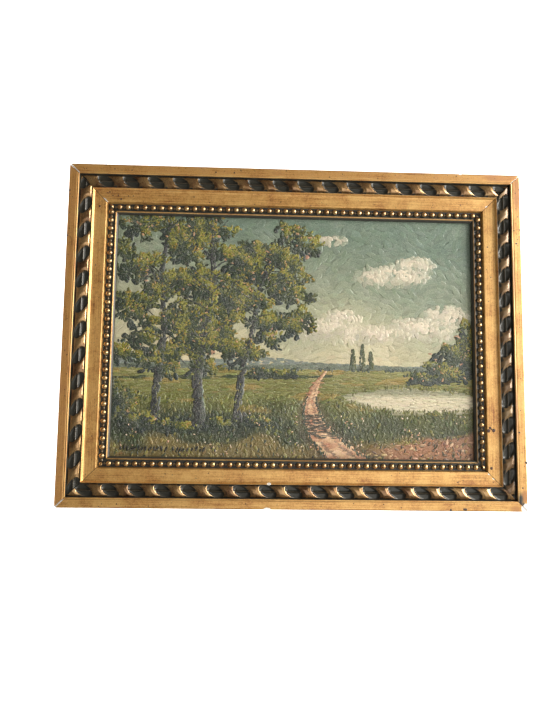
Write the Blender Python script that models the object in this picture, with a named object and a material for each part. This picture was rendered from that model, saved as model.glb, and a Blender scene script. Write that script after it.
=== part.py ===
# A small framed landscape in oils: a painted panel in the rebate of a gilt wooden frame.
#
# Four mitred rails make the frame. Each rail is one solid: a stepped moulding whose outer
# channel holds a carved ribbon wound round a stick, and whose inner channel holds a row of
# pearls. Run it with: blender --background --python part.py
#
# Metres, +Z up. The back of the frame lies in the plane y = 0 and the picture faces -Y.
# The origin is the middle of the back of the top rail, where the frame lies on its wall.
#
# A rail is worked out in its own three directions: "along" it from its middle, clockwise as
# seen from the front; "inward" from the outer edge of the frame; and "deep" behind the front.

import math

import bmesh
import bpy
import numpy as np
from mathutils import Vector
from mathutils.geometry import delaunay_2d_cdt

# Painted panel: a standard 35 x 24 cm landscape panel, cut a little short in height.
PANEL_WIDTH = 0.350
PANEL_HEIGHT = 0.238
PANEL_THICKNESS = 0.004
PANEL_EDGE_ROUND = 0.0004

# How the panel sits in the rebate.
LIP_COVER = 0.0044  # the lip hides this much of the panel's edge
PANEL_SIDE_CLEARANCE = 0.0016  # between the panel's edge and the rebate wall
PANEL_FACE_GAP = 0.0003  # between the panel's face and the rebate ledge

# Rail, front to back.
RAIL_THICKNESS = 0.024
MITRE_GAP = 0.0003  # between the cut ends of two rails

# Moulding from the outer edge inwards: widths, and depths behind the front.
OUTER_EDGE_ROUND = 0.0012
OUTER_EDGE_POINTS = 4
OUTER_BAND_WIDTH = 0.0076
QUIRK_WIDTH = 0.0005
QUIRK_DEPTH = 0.0004
OUTER_FILLET_WIDTH = 0.0013
WALL_RUN = 0.0006  # how far a steep carved wall leans over its height
RIBBON_FLOOR_WIDTH = 0.0114
RIBBON_FLOOR_DEPTH = 0.0045
COVE_FILLET_WIDTH = 0.0005
COVE_FILLET_DEPTH = 0.0020
COVE_WIDTH = 0.0015
FLAT_BAND_WIDTH = 0.0110
FLAT_BAND_DEPTH = 0.0042
FLAT_BAND_FALL = 0.0004  # the flat band leans this much towards the picture
FLAT_BAND_HOLLOW_SHARE = 0.25  # most of that fall is over by this share of its width
HOLLOW_FALL_SHARE = 0.6
STEP_RUN = 0.0008
PEARL_FLOOR_WIDTH = 0.0068
PEARL_FLOOR_DEPTH = 0.0082
LIP_RISE_RUN = 0.0003
LIP_WIDTH = 0.0025
LIP_DEPTH = 0.0074
LIP_FALL = 0.0015
LIP_NOSE_SHARE = 0.8  # the lip rounds over past this share of its width
LIP_NOSE_FALL_SHARE = 0.5
LIP_EDGE_THICKNESS = 0.0025

# Ribbon wound round a stick, carved in the outer channel.
RIBBON_PITCH = 0.02378  # one turn of the ribbon, measured along the rail
STRAP_WIDTH = 0.0100  # the ribbon's own width, measured along the rail
STRAP_HEIGHT = 0.0037  # above the channel's floor
STRAP_EDGE_RUN = 0.0003
STICK_SHARE = 0.55  # the stick, the back of the ribbon and the hollow beside the stick,
BACK_STRAP_SHARE = 0.22  # as shares of the strap's height
HOLLOW_SHARE = 0.12

# Pearls in the inner channel, three to a turn of the ribbon.
PEARLS_PER_TURN = 3
PEARL_RADIUS = 0.00215
PEARL_HEIGHT = 0.0026  # above the channel's floor
PEARL_SIDES = 8
PEARL_SHOULDER_RADIUS_SHARE = 0.80
PEARL_SHOULDER_HEIGHT_SHARE = 0.62

# Where each rail's ribbon and pearls fall beside the middle of that rail: the mouldings were
# cut from long runs, so no two rails start alike.
RAIL_RUNS = {
    "rail_top": {"ribbon_shift": -0.0038, "pearl_shift": -0.0026},
    "rail_right": {"ribbon_shift": -0.0023, "pearl_shift": 0.0021},
    "rail_bottom": {"ribbon_shift": -0.0115, "pearl_shift": -0.0041},
    "rail_left": {"ribbon_shift": -0.0103, "pearl_shift": -0.0030},
}

# Finishes: base colour, roughness, metallic.
GOLD_FINISH = ((0.48, 0.26, 0.085, 1.0), 0.38, 0.75)
PANEL_FINISH = ((0.17, 0.17, 0.10, 1.0), 0.45, 0.0)
SMOOTH_ANGLE = math.radians(40)  # faces that meet at less than this are shaded as one


# Lines of the moulding, each measured inward from the outer edge.
QUIRK_LINE = OUTER_BAND_WIDTH
OUTER_FILLET_LINE = QUIRK_LINE + QUIRK_WIDTH
RIBBON_WALL_LINE = OUTER_FILLET_LINE + OUTER_FILLET_WIDTH
RIBBON_FLOOR_LINE = RIBBON_WALL_LINE + WALL_RUN
RIBBON_FLOOR_END = RIBBON_FLOOR_LINE + RIBBON_FLOOR_WIDTH
COVE_FILLET_LINE = RIBBON_FLOOR_END + WALL_RUN
COVE_LINE = COVE_FILLET_LINE + COVE_FILLET_WIDTH
FLAT_BAND_LINE = COVE_LINE + COVE_WIDTH
STEP_LINE = FLAT_BAND_LINE + FLAT_BAND_WIDTH
PEARL_FLOOR_LINE = STEP_LINE + STEP_RUN
PEARL_FLOOR_END = PEARL_FLOOR_LINE + PEARL_FLOOR_WIDTH
LIP_LINE = PEARL_FLOOR_END + LIP_RISE_RUN
MOULDING_WIDTH = LIP_LINE + LIP_WIDTH

RIBBON_CENTRE = (RIBBON_FLOOR_LINE + RIBBON_FLOOR_END) / 2
RIBBON_RADIUS = RIBBON_FLOOR_WIDTH / 2
PEARL_CENTRE = (PEARL_FLOOR_LINE + PEARL_FLOOR_END) / 2
PEARL_PITCH = RIBBON_PITCH / PEARLS_PER_TURN

# Rebate, and the whole frame round the panel.
REBATE_WIDTH = LIP_COVER + PANEL_SIDE_CLEARANCE
REBATE_LINE = MOULDING_WIDTH - REBATE_WIDTH
REBATE_DEPTH = LIP_DEPTH + LIP_FALL + LIP_EDGE_THICKNESS
FRAME_WIDTH = PANEL_WIDTH - 2 * LIP_COVER + 2 * MOULDING_WIDTH
FRAME_HEIGHT = PANEL_HEIGHT - 2 * LIP_COVER + 2 * MOULDING_WIDTH
FRAME_CENTRE_HEIGHT = (REBATE_LINE - FRAME_HEIGHT) / 2


def clear_scene():
    for obj in list(bpy.data.objects):
        bpy.data.objects.remove(obj, do_unlink=True)


def make_material(name, finish):
    color, roughness, metallic = finish
    material = bpy.data.materials.new(name)
    material.use_nodes = True
    shader = material.node_tree.nodes["Principled BSDF"]
    shader.inputs["Base Color"].default_value = color
    shader.inputs["Roughness"].default_value = roughness
    shader.inputs["Metallic"].default_value = metallic
    material.diffuse_color = color
    return material


def moulding_profile():
    """The plain moulding's face as (inward, deep) points, from the outer edge to the sight edge."""
    points = []
    for turn in np.linspace(0, math.pi / 2, OUTER_EDGE_POINTS):
        run = OUTER_EDGE_ROUND * (1 - math.cos(turn))
        points.append((run, OUTER_EDGE_ROUND * (1 - math.sin(turn))))
    quirk_middle = (QUIRK_LINE + OUTER_FILLET_LINE) / 2
    fillet_crown = (OUTER_FILLET_LINE + RIBBON_WALL_LINE) / 2
    band_hollow = FLAT_BAND_LINE + FLAT_BAND_HOLLOW_SHARE * FLAT_BAND_WIDTH
    lip_nose = LIP_LINE + LIP_NOSE_SHARE * LIP_WIDTH
    points += [
        (QUIRK_LINE, 0.0),
        (quirk_middle, QUIRK_DEPTH),
        (OUTER_FILLET_LINE, QUIRK_DEPTH / 2),
        (fillet_crown, 0.0),
        (RIBBON_WALL_LINE, QUIRK_DEPTH / 2),
        (RIBBON_FLOOR_LINE, RIBBON_FLOOR_DEPTH),
        (RIBBON_FLOOR_END, RIBBON_FLOOR_DEPTH),
        (COVE_FILLET_LINE, COVE_FILLET_DEPTH),
        (COVE_LINE, COVE_FILLET_DEPTH),
        (FLAT_BAND_LINE, FLAT_BAND_DEPTH),
        (band_hollow, FLAT_BAND_DEPTH + HOLLOW_FALL_SHARE * FLAT_BAND_FALL),
        (STEP_LINE, FLAT_BAND_DEPTH + FLAT_BAND_FALL),
        (PEARL_FLOOR_LINE, PEARL_FLOOR_DEPTH),
        (PEARL_FLOOR_END, PEARL_FLOOR_DEPTH),
        (LIP_LINE, LIP_DEPTH),
        (lip_nose, LIP_DEPTH + LIP_NOSE_FALL_SHARE * LIP_FALL),
        (MOULDING_WIDTH, LIP_DEPTH + LIP_FALL),
    ]
    return points


PROFILE = moulding_profile()

# Rows of the ribbon across its channel, as shares of its radius, with the height of the
# strap and of the opening between two straps, as shares of the strap's height.
RIBBON_ROW_SHARES = (-1.0, -0.8, -0.4, 0.0, 0.4, 0.8, 1.0)
STRAP_ROW_HEIGHTS = [math.sqrt(1 - row * row) for row in RIBBON_ROW_SHARES]
OPENING_ROW_HEIGHTS = (
    0.0, BACK_STRAP_SHARE, HOLLOW_SHARE, STICK_SHARE, HOLLOW_SHARE, BACK_STRAP_SHARE, 0.0
)
# How far along the rail the winding strap has come at each row.
STRAP_ROW_LEADS = [RIBBON_PITCH / (2 * math.pi) * math.asin(row) for row in RIBBON_ROW_SHARES]


def ribbon_height(along, inward, shift):
    """Height of the ribbon and stick above the channel's floor."""
    row = (inward - RIBBON_CENTRE) / RIBBON_RADIUS
    lead = float(np.interp(row, RIBBON_ROW_SHARES, STRAP_ROW_LEADS))
    turn = (along - shift - lead) / RIBBON_PITCH
    from_strap = abs(turn - round(turn)) * RIBBON_PITCH
    on_strap = (STRAP_WIDTH / 2 + STRAP_EDGE_RUN - from_strap) / STRAP_EDGE_RUN
    on_strap = min(1.0, max(0.0, on_strap))
    strap = float(np.interp(row, RIBBON_ROW_SHARES, STRAP_ROW_HEIGHTS))
    opening = float(np.interp(row, RIBBON_ROW_SHARES, OPENING_ROW_HEIGHTS))
    return STRAP_HEIGHT * (on_strap * strap + (1 - on_strap) * opening)


def pearl_height(along, inward, shift):
    """Height of the nearest pearl above the channel's floor."""
    turn = (along - shift) / PEARL_PITCH
    across = (turn - round(turn)) * PEARL_PITCH
    down = inward - PEARL_CENTRE
    half_side = math.pi / PEARL_SIDES
    reach = 0.0
    for side in range(PEARL_SIDES):
        angle = (2 * side + 1) * half_side
        reach = max(reach, across * math.cos(angle) + down * math.sin(angle))
    share = reach / math.cos(half_side) / PEARL_RADIUS
    rings = (0.0, PEARL_SHOULDER_RADIUS_SHARE, 1.0)
    heights = (1.0, PEARL_SHOULDER_HEIGHT_SHARE, 0.0)
    return PEARL_HEIGHT * float(np.interp(share, rings, heights))


def face_depth(along, inward, runs):
    """Depth of a rail's carved face behind the front."""
    depth = float(np.interp(inward, *zip(*PROFILE)))
    if RIBBON_FLOOR_LINE < inward < RIBBON_FLOOR_END:
        return depth - ribbon_height(along, inward, runs["ribbon_shift"])
    if PEARL_FLOOR_LINE < inward < PEARL_FLOOR_END:
        return depth - pearl_height(along, inward, runs["pearl_shift"])
    return depth


class FaceMap:
    """Points and lines of a rail's face, drawn flat before they are raised to their depth."""

    def __init__(self):
        self.points = []
        self.lines = []

    def add_path(self, path, close=False):
        first = len(self.points)
        self.points += [Vector(point) for point in path]
        last = len(self.points) - 1
        self.lines += [(index, index + 1) for index in range(first, last)]
        if close:
            self.lines.append((last, first))


def repeats(reach, pitch, shift):
    """Middles of the repeats that fall within a reach either side of the rail's middle."""
    low = math.ceil((-reach - shift) / pitch)
    high = math.floor((reach - shift) / pitch)
    return [shift + count * pitch for count in range(low, high + 1)]


def draw_ribbon(face_map, reach, shift):
    """The rows of the ribbon, and its straps' edges at their top and at their foot."""
    middles = repeats(reach, RIBBON_PITCH, shift)
    top_edge = STRAP_WIDTH / 2
    foot_edge = top_edge + STRAP_EDGE_RUN
    edges = (-foot_edge, -top_edge, top_edge, foot_edge)
    for row, lead in zip(RIBBON_ROW_SHARES, STRAP_ROW_LEADS):
        inward = RIBBON_CENTRE + row * RIBBON_RADIUS
        row_path = [(middle + lead + edge, inward) for middle in middles for edge in edges]
        face_map.add_path(row_path)
    for middle in middles:
        for edge in edges:
            edge_path = []
            for row, lead in zip(RIBBON_ROW_SHARES, STRAP_ROW_LEADS):
                edge_path.append((middle + lead + edge, RIBBON_CENTRE + row * RIBBON_RADIUS))
            face_map.add_path(edge_path)


def draw_pearls(face_map, reach, shift):
    for middle in repeats(reach, PEARL_PITCH, shift):
        for share in (1.0, PEARL_SHOULDER_RADIUS_SHARE):
            ring = []
            for side in range(PEARL_SIDES):
                angle = 2 * math.pi * side / PEARL_SIDES
                across = middle + share * PEARL_RADIUS * math.cos(angle)
                ring.append((across, PEARL_CENTRE + share * PEARL_RADIUS * math.sin(angle)))
            face_map.add_path(ring, close=True)
        face_map.add_path([(middle, PEARL_CENTRE)])


def mitre_end(half_length, inward):
    """Where the mitre cuts a line of the rail, measured along from the rail's middle."""
    return half_length - inward - MITRE_GAP / 2 * math.sqrt(2)


def draw_face(half_length, runs):
    """A rail's whole face: the moulding's lines, the carving, and the two mitres."""
    face_map = FaceMap()
    reach = half_length + RIBBON_PITCH
    carving_lines = (RIBBON_WALL_LINE, COVE_FILLET_LINE, PEARL_FLOOR_LINE, PEARL_FLOOR_END)
    for inward, _ in PROFILE[1:-1]:
        if inward in (RIBBON_FLOOR_LINE, RIBBON_FLOOR_END):
            continue  # the ribbon's outer rows are these two lines
        path = [(-reach, inward), (reach, inward)]
        if inward in carving_lines:
            path[1:1] = [(middle, inward) for middle in repeats(reach, RIBBON_PITCH, 0.0)]
        face_map.add_path(path)
    draw_ribbon(face_map, reach, runs["ribbon_shift"])
    draw_pearls(face_map, reach, runs["pearl_shift"])
    outer = mitre_end(half_length, 0.0)
    inner = mitre_end(half_length, MOULDING_WIDTH)
    outline = [(-outer, 0.0), (outer, 0.0), (inner, MOULDING_WIDTH), (-inner, MOULDING_WIDTH)]
    face_map.add_path(outline, close=True)
    return face_map


def triangulate_face(face_map, half_length):
    """Triangles of the face that lie between the two mitres."""
    whole_outline = 0
    closeness = 1e-7
    points, _, triangles, _, _, _ = delaunay_2d_cdt(
        face_map.points, face_map.lines, [], whole_outline, closeness
    )
    kept = []
    for triangle in triangles:
        along = sum(points[corner].x for corner in triangle) / 3
        inward = sum(points[corner].y for corner in triangle) / 3
        inside = 0 < inward < MOULDING_WIDTH and abs(along) < mitre_end(half_length, inward)
        if inside:
            kept.append(triangle)
    return points, kept


def add_back_and_ends(mesh, half_length, place):
    """Closes the body: outer side, back, rebate and sight edge, then the two mitred ends."""
    rim = {vert for edge in mesh.edges if edge.is_boundary for vert in edge.verts}
    along_layer = mesh.verts.layers.float["along"]
    inward_layer = mesh.verts.layers.float["inward"]
    back_outline = [
        (0.0, RAIL_THICKNESS),
        (REBATE_LINE, RAIL_THICKNESS),
        (REBATE_LINE, REBATE_DEPTH),
        (MOULDING_WIDTH, REBATE_DEPTH),
    ]
    rings = []
    for side in (-1, 1):
        face_edge = [vert for vert in rim if vert[along_layer] * side > 0]
        face_edge.sort(key=lambda vert: vert[inward_layer])
        back = []
        for inward, depth in back_outline:
            back.append(mesh.verts.new(place(side * mitre_end(half_length, inward), inward, depth)))
        mesh.faces.new(face_edge + back[::-1])
        rings.append([face_edge[0]] + back + [face_edge[-1]])
    low_ring, high_ring = rings
    for index in range(len(low_ring) - 1):
        mesh.faces.new(
            (low_ring[index], low_ring[index + 1], high_ring[index + 1], high_ring[index])
        )


def build_rail(name, length, width_across, along_axis, material):
    """One mitred rail. along_axis runs clockwise round the frame as seen from the front."""
    runs = RAIL_RUNS[name]
    half_length = length / 2
    inward_axis = Vector((0, 1, 0)).cross(along_axis)
    centre = Vector((0, -RAIL_THICKNESS, FRAME_CENTRE_HEIGHT))
    outer_edge = centre - inward_axis * (width_across / 2)

    def place(along, inward, depth):
        return outer_edge + along_axis * along + inward_axis * inward + Vector((0, depth, 0))

    points, triangles = triangulate_face(draw_face(half_length, runs), half_length)
    mesh = bmesh.new()
    along_layer = mesh.verts.layers.float.new("along")
    inward_layer = mesh.verts.layers.float.new("inward")
    verts = {}
    for corner in sorted({corner for triangle in triangles for corner in triangle}):
        along, inward = points[corner]
        vert = mesh.verts.new(place(along, inward, face_depth(along, inward, runs)))
        vert[along_layer] = along
        vert[inward_layer] = inward
        verts[corner] = vert
    for triangle in triangles:
        mesh.faces.new([verts[corner] for corner in triangle])
    add_back_and_ends(mesh, half_length, place)
    bmesh.ops.triangulate(mesh, faces=[face for face in mesh.faces if len(face.verts) > 4])
    bmesh.ops.recalc_face_normals(mesh, faces=mesh.faces)
    return add_object(name, mesh, material)


def build_painting(material):
    """The painted panel, with its face just behind the rebate ledge."""
    mesh = bmesh.new()
    bmesh.ops.create_cube(mesh, size=1.0)
    bmesh.ops.scale(mesh, vec=(PANEL_WIDTH, PANEL_THICKNESS, PANEL_HEIGHT), verts=mesh.verts)
    bmesh.ops.bevel(
        mesh, geom=mesh.edges[:], offset=PANEL_EDGE_ROUND, segments=1, affect="EDGES"
    )
    front = -RAIL_THICKNESS + REBATE_DEPTH + PANEL_FACE_GAP
    middle = Vector((0, front + PANEL_THICKNESS / 2, FRAME_CENTRE_HEIGHT))
    bmesh.ops.translate(mesh, vec=middle, verts=mesh.verts)
    return add_object("painting", mesh, material)


def add_object(name, mesh, material):
    data = bpy.data.meshes.new(name)
    mesh.to_mesh(data)
    mesh.free()
    data.materials.append(material)
    data.shade_smooth()
    data.set_sharp_from_angle(angle=SMOOTH_ANGLE)
    obj = bpy.data.objects.new(name, data)
    bpy.context.scene.collection.objects.link(obj)
    return obj


def main():
    clear_scene()
    gold = make_material("gilding", GOLD_FINISH)
    paint = make_material("oil_paint", PANEL_FINISH)
    build_rail("rail_top", FRAME_WIDTH, FRAME_HEIGHT, Vector((1, 0, 0)), gold)
    build_rail("rail_right", FRAME_HEIGHT, FRAME_WIDTH, Vector((0, 0, -1)), gold)
    build_rail("rail_bottom", FRAME_WIDTH, FRAME_HEIGHT, Vector((-1, 0, 0)), gold)
    build_rail("rail_left", FRAME_HEIGHT, FRAME_WIDTH, Vector((0, 0, 1)), gold)
    build_painting(paint)


main()
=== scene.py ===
import math

import bmesh
import bpy
import numpy as np
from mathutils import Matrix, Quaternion, Vector


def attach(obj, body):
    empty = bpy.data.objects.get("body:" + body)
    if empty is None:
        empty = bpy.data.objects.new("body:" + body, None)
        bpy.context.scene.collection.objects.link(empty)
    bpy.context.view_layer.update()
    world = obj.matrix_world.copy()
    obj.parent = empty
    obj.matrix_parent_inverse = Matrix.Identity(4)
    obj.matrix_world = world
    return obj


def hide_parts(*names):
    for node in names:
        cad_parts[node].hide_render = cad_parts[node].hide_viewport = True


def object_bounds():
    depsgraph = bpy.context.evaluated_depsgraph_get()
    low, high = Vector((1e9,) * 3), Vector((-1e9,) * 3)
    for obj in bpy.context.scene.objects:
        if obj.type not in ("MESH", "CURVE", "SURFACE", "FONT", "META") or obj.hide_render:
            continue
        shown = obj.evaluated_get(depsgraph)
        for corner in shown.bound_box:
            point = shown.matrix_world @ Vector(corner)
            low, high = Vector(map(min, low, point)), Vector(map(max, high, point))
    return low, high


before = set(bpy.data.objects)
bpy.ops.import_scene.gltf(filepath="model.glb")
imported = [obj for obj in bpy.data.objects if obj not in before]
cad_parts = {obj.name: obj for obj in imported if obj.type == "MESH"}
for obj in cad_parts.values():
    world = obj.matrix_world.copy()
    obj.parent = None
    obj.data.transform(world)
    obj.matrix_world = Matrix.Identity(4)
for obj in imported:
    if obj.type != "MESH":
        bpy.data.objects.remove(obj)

cadLow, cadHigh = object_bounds()
scene = bpy.context.scene
scene.view_settings.view_transform = "Standard"
print("stage 1: the packed frame is loaded")


# camera where the photograph was taken: a hand's breadth left of the middle and a little low
cameraLook = {
    "place": (-0.0418, -0.5174, -0.2022),
    "turn": (94.867, -2.116, -0.655),  # axis times angle, in degrees
    "lens": 27.04,
    "sensor": 36.0,
}


def addCamera(look):
    data = bpy.data.cameras.new("photoCamera")
    data.lens = look["lens"]
    data.sensor_width = look["sensor"]
    camera = bpy.data.objects.new("photoCamera", data)
    turn = Vector([math.radians(angle) for angle in look["turn"]])
    camera.rotation_mode = "QUATERNION"
    camera.rotation_quaternion = Quaternion(turn.normalized(), turn.length)
    camera.location = look["place"]
    scene.collection.objects.link(camera)
    scene.camera = camera


addCamera(cameraLook)


# lamps: one broad window to the right, dim bounce from the other sides
lampLook = {
    "window": {"place": (1.20, -0.42, 0.16), "aim": (0.0, -0.10, -0.16), "size": (0.95, 1.0),
               "power": 42.0, "colour": (1.0, 0.985, 0.96)},
    "fill": {"place": (0.50, -1.75, -0.55), "aim": (0.0, 0.0, -0.14), "size": (1.0, 1.5),
             "power": 7.6, "colour": (1.0, 0.98, 0.95)},
    "backdropLeft": {"place": (-1.2, 0.35, 0.1), "aim": (-0.2, 1.2, -0.2), "size": (0.8, 1.6),
                     "power": 30.0, "colour": (1.0, 1.0, 1.0)},
    "backdropRight": {"place": (1.2, 0.35, 0.1), "aim": (0.2, 1.2, -0.2), "size": (0.8, 1.6),
                      "power": 30.0, "colour": (1.0, 1.0, 1.0)},
}
roomLook = {"colour": (1.0, 0.985, 0.94), "strength": 0.11}


def addLamp(name, look):
    data = bpy.data.lights.new(name, "AREA")
    data.shape = "RECTANGLE"
    data.size, data.size_y = look["size"]
    data.energy = look["power"]
    data.color = look["colour"]
    lamp = bpy.data.objects.new(name, data)
    lamp.location = look["place"]
    aim = Vector(look["aim"]) - Vector(look["place"])
    lamp.rotation_mode = "QUATERNION"
    lamp.rotation_quaternion = aim.to_track_quat("-Z", "Y")
    scene.collection.objects.link(lamp)


for lampName, look in lampLook.items():
    addLamp(lampName, look)
room = bpy.data.worlds.new("room")
room.use_nodes = True
room.node_tree.nodes["Background"].inputs["Color"].default_value = (*roomLook["colour"], 1)
room.node_tree.nodes["Background"].inputs["Strength"].default_value = roomLook["strength"]
scene.world = room


# a socket of a node tree: sums and products of wires add Math nodes
class Wire:
    def __init__(self, tree, socket=None):
        self.tree = tree
        self.socket = socket

    def node(self, kind, settings=None, inputs=None, output=0):
        made = self.tree.nodes.new(kind)
        for name, value in (settings or {}).items():
            if name == "stops":
                ramp = made.color_ramp
                while len(ramp.elements) < len(value):
                    ramp.elements.new(0.5)
                for element, (place, colour) in zip(ramp.elements, value):
                    element.position = place
                    element.color = (*colour, 1)
            else:
                setattr(made, name, value)
        for name, value in (inputs or {}).items():
            if isinstance(value, Wire):
                self.tree.links.new(value.socket, made.inputs[name])
            else:
                made.inputs[name].default_value = value
        return Wire(self.tree, made.outputs[output])

    def sum(self, operation, *terms, clamp=False):
        inputs = dict(enumerate(terms))
        return self.node("ShaderNodeMath", {"operation": operation, "use_clamp": clamp}, inputs)

    def __add__(self, other):
        return self.sum("ADD", self, other)

    def __sub__(self, other):
        return self.sum("SUBTRACT", self, other)

    def __rsub__(self, other):
        return self.sum("SUBTRACT", other, self)

    def __mul__(self, other):
        return self.sum("MULTIPLY", self, other)

    def __truediv__(self, other):
        return self.sum("DIVIDE", self, other)

    def __pow__(self, other):
        return self.sum("POWER", self, other)

    def __abs__(self):
        return self.sum("ABSOLUTE", self)

    __radd__ = __add__
    __rmul__ = __mul__

    # 0 below low, 1 above high, eased between them
    def step(self, low, high):
        return self.node("ShaderNodeMapRange", {"interpolation_type": "SMOOTHSTEP"},
                         {"Value": self, "From Min": low, "From Max": high})

    # the wire's own value at 0 share, the other's at 1
    def blend(self, other, share):
        return self.node("ShaderNodeMix", {"data_type": "FLOAT"}, {0: share, 2: self, 3: other})

    # a gaussian bump of this wire round a middle
    def bump(self, middle, width):
        away = (self - middle) / width
        return self.sum("EXPONENT", away * away * -1)

    # three parts as one vector, and one part of this vector
    def vector(self, *parts):
        return self.node("ShaderNodeCombineXYZ", {}, dict(enumerate(parts)))

    def axis(self, number):
        return self.node("ShaderNodeSeparateXYZ", {}, {0: self}, number)

    # where a shaded point lies in its object
    def place(self):
        return self.node("ShaderNodeTexCoord", {}, {}, 3)

    # another number for each instance
    def randomValue(self, low, high, seed):
        return self.node("FunctionNodeRandomValue", {"data_type": "FLOAT"},
                         {"Min": low, "Max": high, "Seed": seed}, 1)


def newMaterial(name):
    material = bpy.data.materials.new(name)
    material.use_nodes = True
    material.node_tree.nodes.clear()
    return material, Wire(material.node_tree)


def tint(wire, share, first, second):
    colours = [value if isinstance(value, Wire) else (*value, 1) for value in (first, second)]
    inputs = {0: share, 6: colours[0], 7: colours[1]}
    return wire.node("ShaderNodeMix", {"data_type": "RGBA"}, inputs, 2)


def noise(wire, place, scale, detail=3.0, roughness=0.55):
    inputs = {"Vector": place, "Scale": scale, "Detail": detail, "Roughness": roughness}
    return wire.node("ShaderNodeTexNoise", {}, inputs)


def bumped(wire, strength, depth, height):
    return wire.node("ShaderNodeBump", {}, {"Strength": strength, "Distance": depth, "Height": height})


def finishSurface(wire, fixed, driven):
    shader = wire.tree.nodes.new("ShaderNodeBsdfPrincipled")
    for name, value in fixed.items():
        shader.inputs[name].default_value = value
    for name, value in driven.items():
        wire.tree.links.new(value.socket, shader.inputs[name])
    end = wire.tree.nodes.new("ShaderNodeOutputMaterial")
    wire.tree.links.new(shader.outputs[0], end.inputs["Surface"])


def readValue(wire, name):
    return wire.node("ShaderNodeAttribute", {"attribute_name": name}, {}, 2)


# old bronze gilding over brown bole and gesso. The mesh says how dirty and how darkened by painted shade,
# rubbed or chipped it is
gildingLook = {
    "bright": (0.84, 0.515, 0.165),
    "middle": (0.63, 0.315, 0.078),
    "deep": (0.32, 0.115, 0.028),
    "patinaAndShade": (0.040, 0.037, 0.026),
    "bole": (0.15, 0.065, 0.032),
    "worn": (0.36, 0.135, 0.034),
    "gesso": (0.80, 0.77, 0.69),
    "metal": 0.60,
    "roughness": 0.40,
    "coat": 0.85,
    "coatRoughness": 0.40,
    "relief": 0.55,
    "speckle": 1.0,  # how much the fine noise breaks up wear and dirt
    "stops": (0.36, 0.47, 0.60),  # of deep, middle and bright
    "streakScale": (22, 1500),  # along the rail, across it
    "grainScale": 1300.0,
    "patchScale": 70.0,
    "fleckScale": 420.0,
    "bumpDepth": 0.00012,
}
carvedLook = {**gildingLook, "bright": (0.50, 0.30, 0.120), "middle": (0.34, 0.185, 0.072),
              "deep": (0.16, 0.075, 0.029), "roughness": 0.30, "metal": 0.86, "coat": 0.75,
              "coatRoughness": 0.16, "relief": 0.15, "speckle": 0.42}
pearlFinish = {**carvedLook, "bright": (0.66, 0.42, 0.175), "middle": (0.50, 0.28, 0.105),
               "deep": (0.28, 0.14, 0.050), "roughness": 0.28, "metal": 0.80, "coat": 0.80}


def makeGilding(name, look, streaks, grainShare):
    material, wire = newMaterial(name)
    along, inward = readValue(wire, "along"), readValue(wire, "inward")
    dirt, rub, chip = (readValue(wire, part) for part in ("dirt", "rub", "chip"))
    place = wire.place()
    streakAlong, streakAcross = look["streakScale"]
    streak = noise(wire, wire.vector(along * streakAlong, inward * streakAcross, 0.0), 1.0, 2.0)
    grain = noise(wire, place, look["grainScale"], 2.0)
    patches = noise(wire, place, look["patchScale"], 4.0)
    flecks = noise(wire, place, look["fleckScale"], 3.0, 0.7)
    shade = streak * streaks + grain * grainShare + patches * (1 - streaks - grainShare)
    speckle = (flecks - 0.5) * look["speckle"]
    shade = shade + speckle * 0.25
    shades = zip(look["stops"], (look["deep"], look["middle"], look["bright"]))
    gold = wire.node("ShaderNodeValToRGB", {"stops": list(shades)}, {0: shade})
    # rubbed wear, which on the left rail's bands is partly painted shade
    worn = (rub + speckle * 0.6 + (streak - 0.5) * 0.5 + (patches - 0.5) * 0.9).step(0.42, 0.98)
    # dirt and painted shade from the mesh turn the gold towards the dark colour and thin its metal and coat
    fouledAndShaded = (dirt + speckle * 0.30 + (patches - 0.5) * 0.20).step(0.25, 0.85)
    bare = (chip + speckle * 0.45).step(0.47, 0.55)
    spots = flecks.step(0.66, 0.74) * 0.55 * look["speckle"]
    colour = tint(wire, spots, gold, look["bole"])
    colour = tint(wire, worn * 0.85, colour, look["worn"])
    colour = tint(wire, fouledAndShaded, colour, look["patinaAndShade"])
    colour = tint(wire, bare, colour, look["gesso"])
    metal = (1 - worn * 0.4) * (1 - fouledAndShaded * 0.75) * (1 - bare) * look["metal"]
    roughness = look["roughness"] + (grain - 0.5) * 0.20 + worn * 0.12 + fouledAndShaded * 0.12 + bare * 0.35
    relief = streak * 0.30 + grain * 0.35 + patches * 0.9 - bare * 2.0
    bump = bumped(wire, look["relief"], look["bumpDepth"], relief)
    coat = (1 - fouledAndShaded * 0.62) * look["coat"]
    finishSurface(wire, {"Coat Roughness": look["coatRoughness"]}, {
        "Base Color": colour, "Metallic": metal, "Roughness": roughness, "Coat Weight": coat, "Normal": bump})
    return material


# bare pine of the frame's back, darkened by age
woodLook = {
    "pale": (0.23, 0.130, 0.062),
    "dark": (0.100, 0.052, 0.025),
    "roughness": 0.72,
    "ringScale": (5, 210),  # along the grain, across it
    "poreScale": (60, 2600),
    "warpScale": 26.0,
    "warp": 2.2,
    "bumpDepth": 0.0002,
}


def makeWood(name, look):
    material, wire = newMaterial(name)
    along, inward = readValue(wire, "along"), readValue(wire, "inward")
    warp = noise(wire, wire.place(), look["warpScale"], 2.0)
    ringAlong, ringAcross = look["ringScale"]
    poreAlong, poreAcross = look["poreScale"]
    lengthwise = wire.vector(along * ringAlong, inward * ringAcross + warp * look["warp"], warp)
    rings = noise(wire, lengthwise, 1.0, 4.0, 0.6)
    pores = noise(wire, wire.vector(along * poreAlong, inward * poreAcross, 0.0), 1.0, 2.0)
    share = rings.step(0.32, 0.68) * 0.7 + pores * 0.5 - 0.15
    colour = tint(wire, share, look["pale"], look["dark"])
    bump = bumped(wire, 0.5, look["bumpDepth"], pores * 0.6 + rings * 0.4)
    finishSurface(wire, {"Roughness": look["roughness"]}, {"Base Color": colour, "Normal": bump})
    return material


print("stage 2: camera, lamps and finishes")


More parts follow.
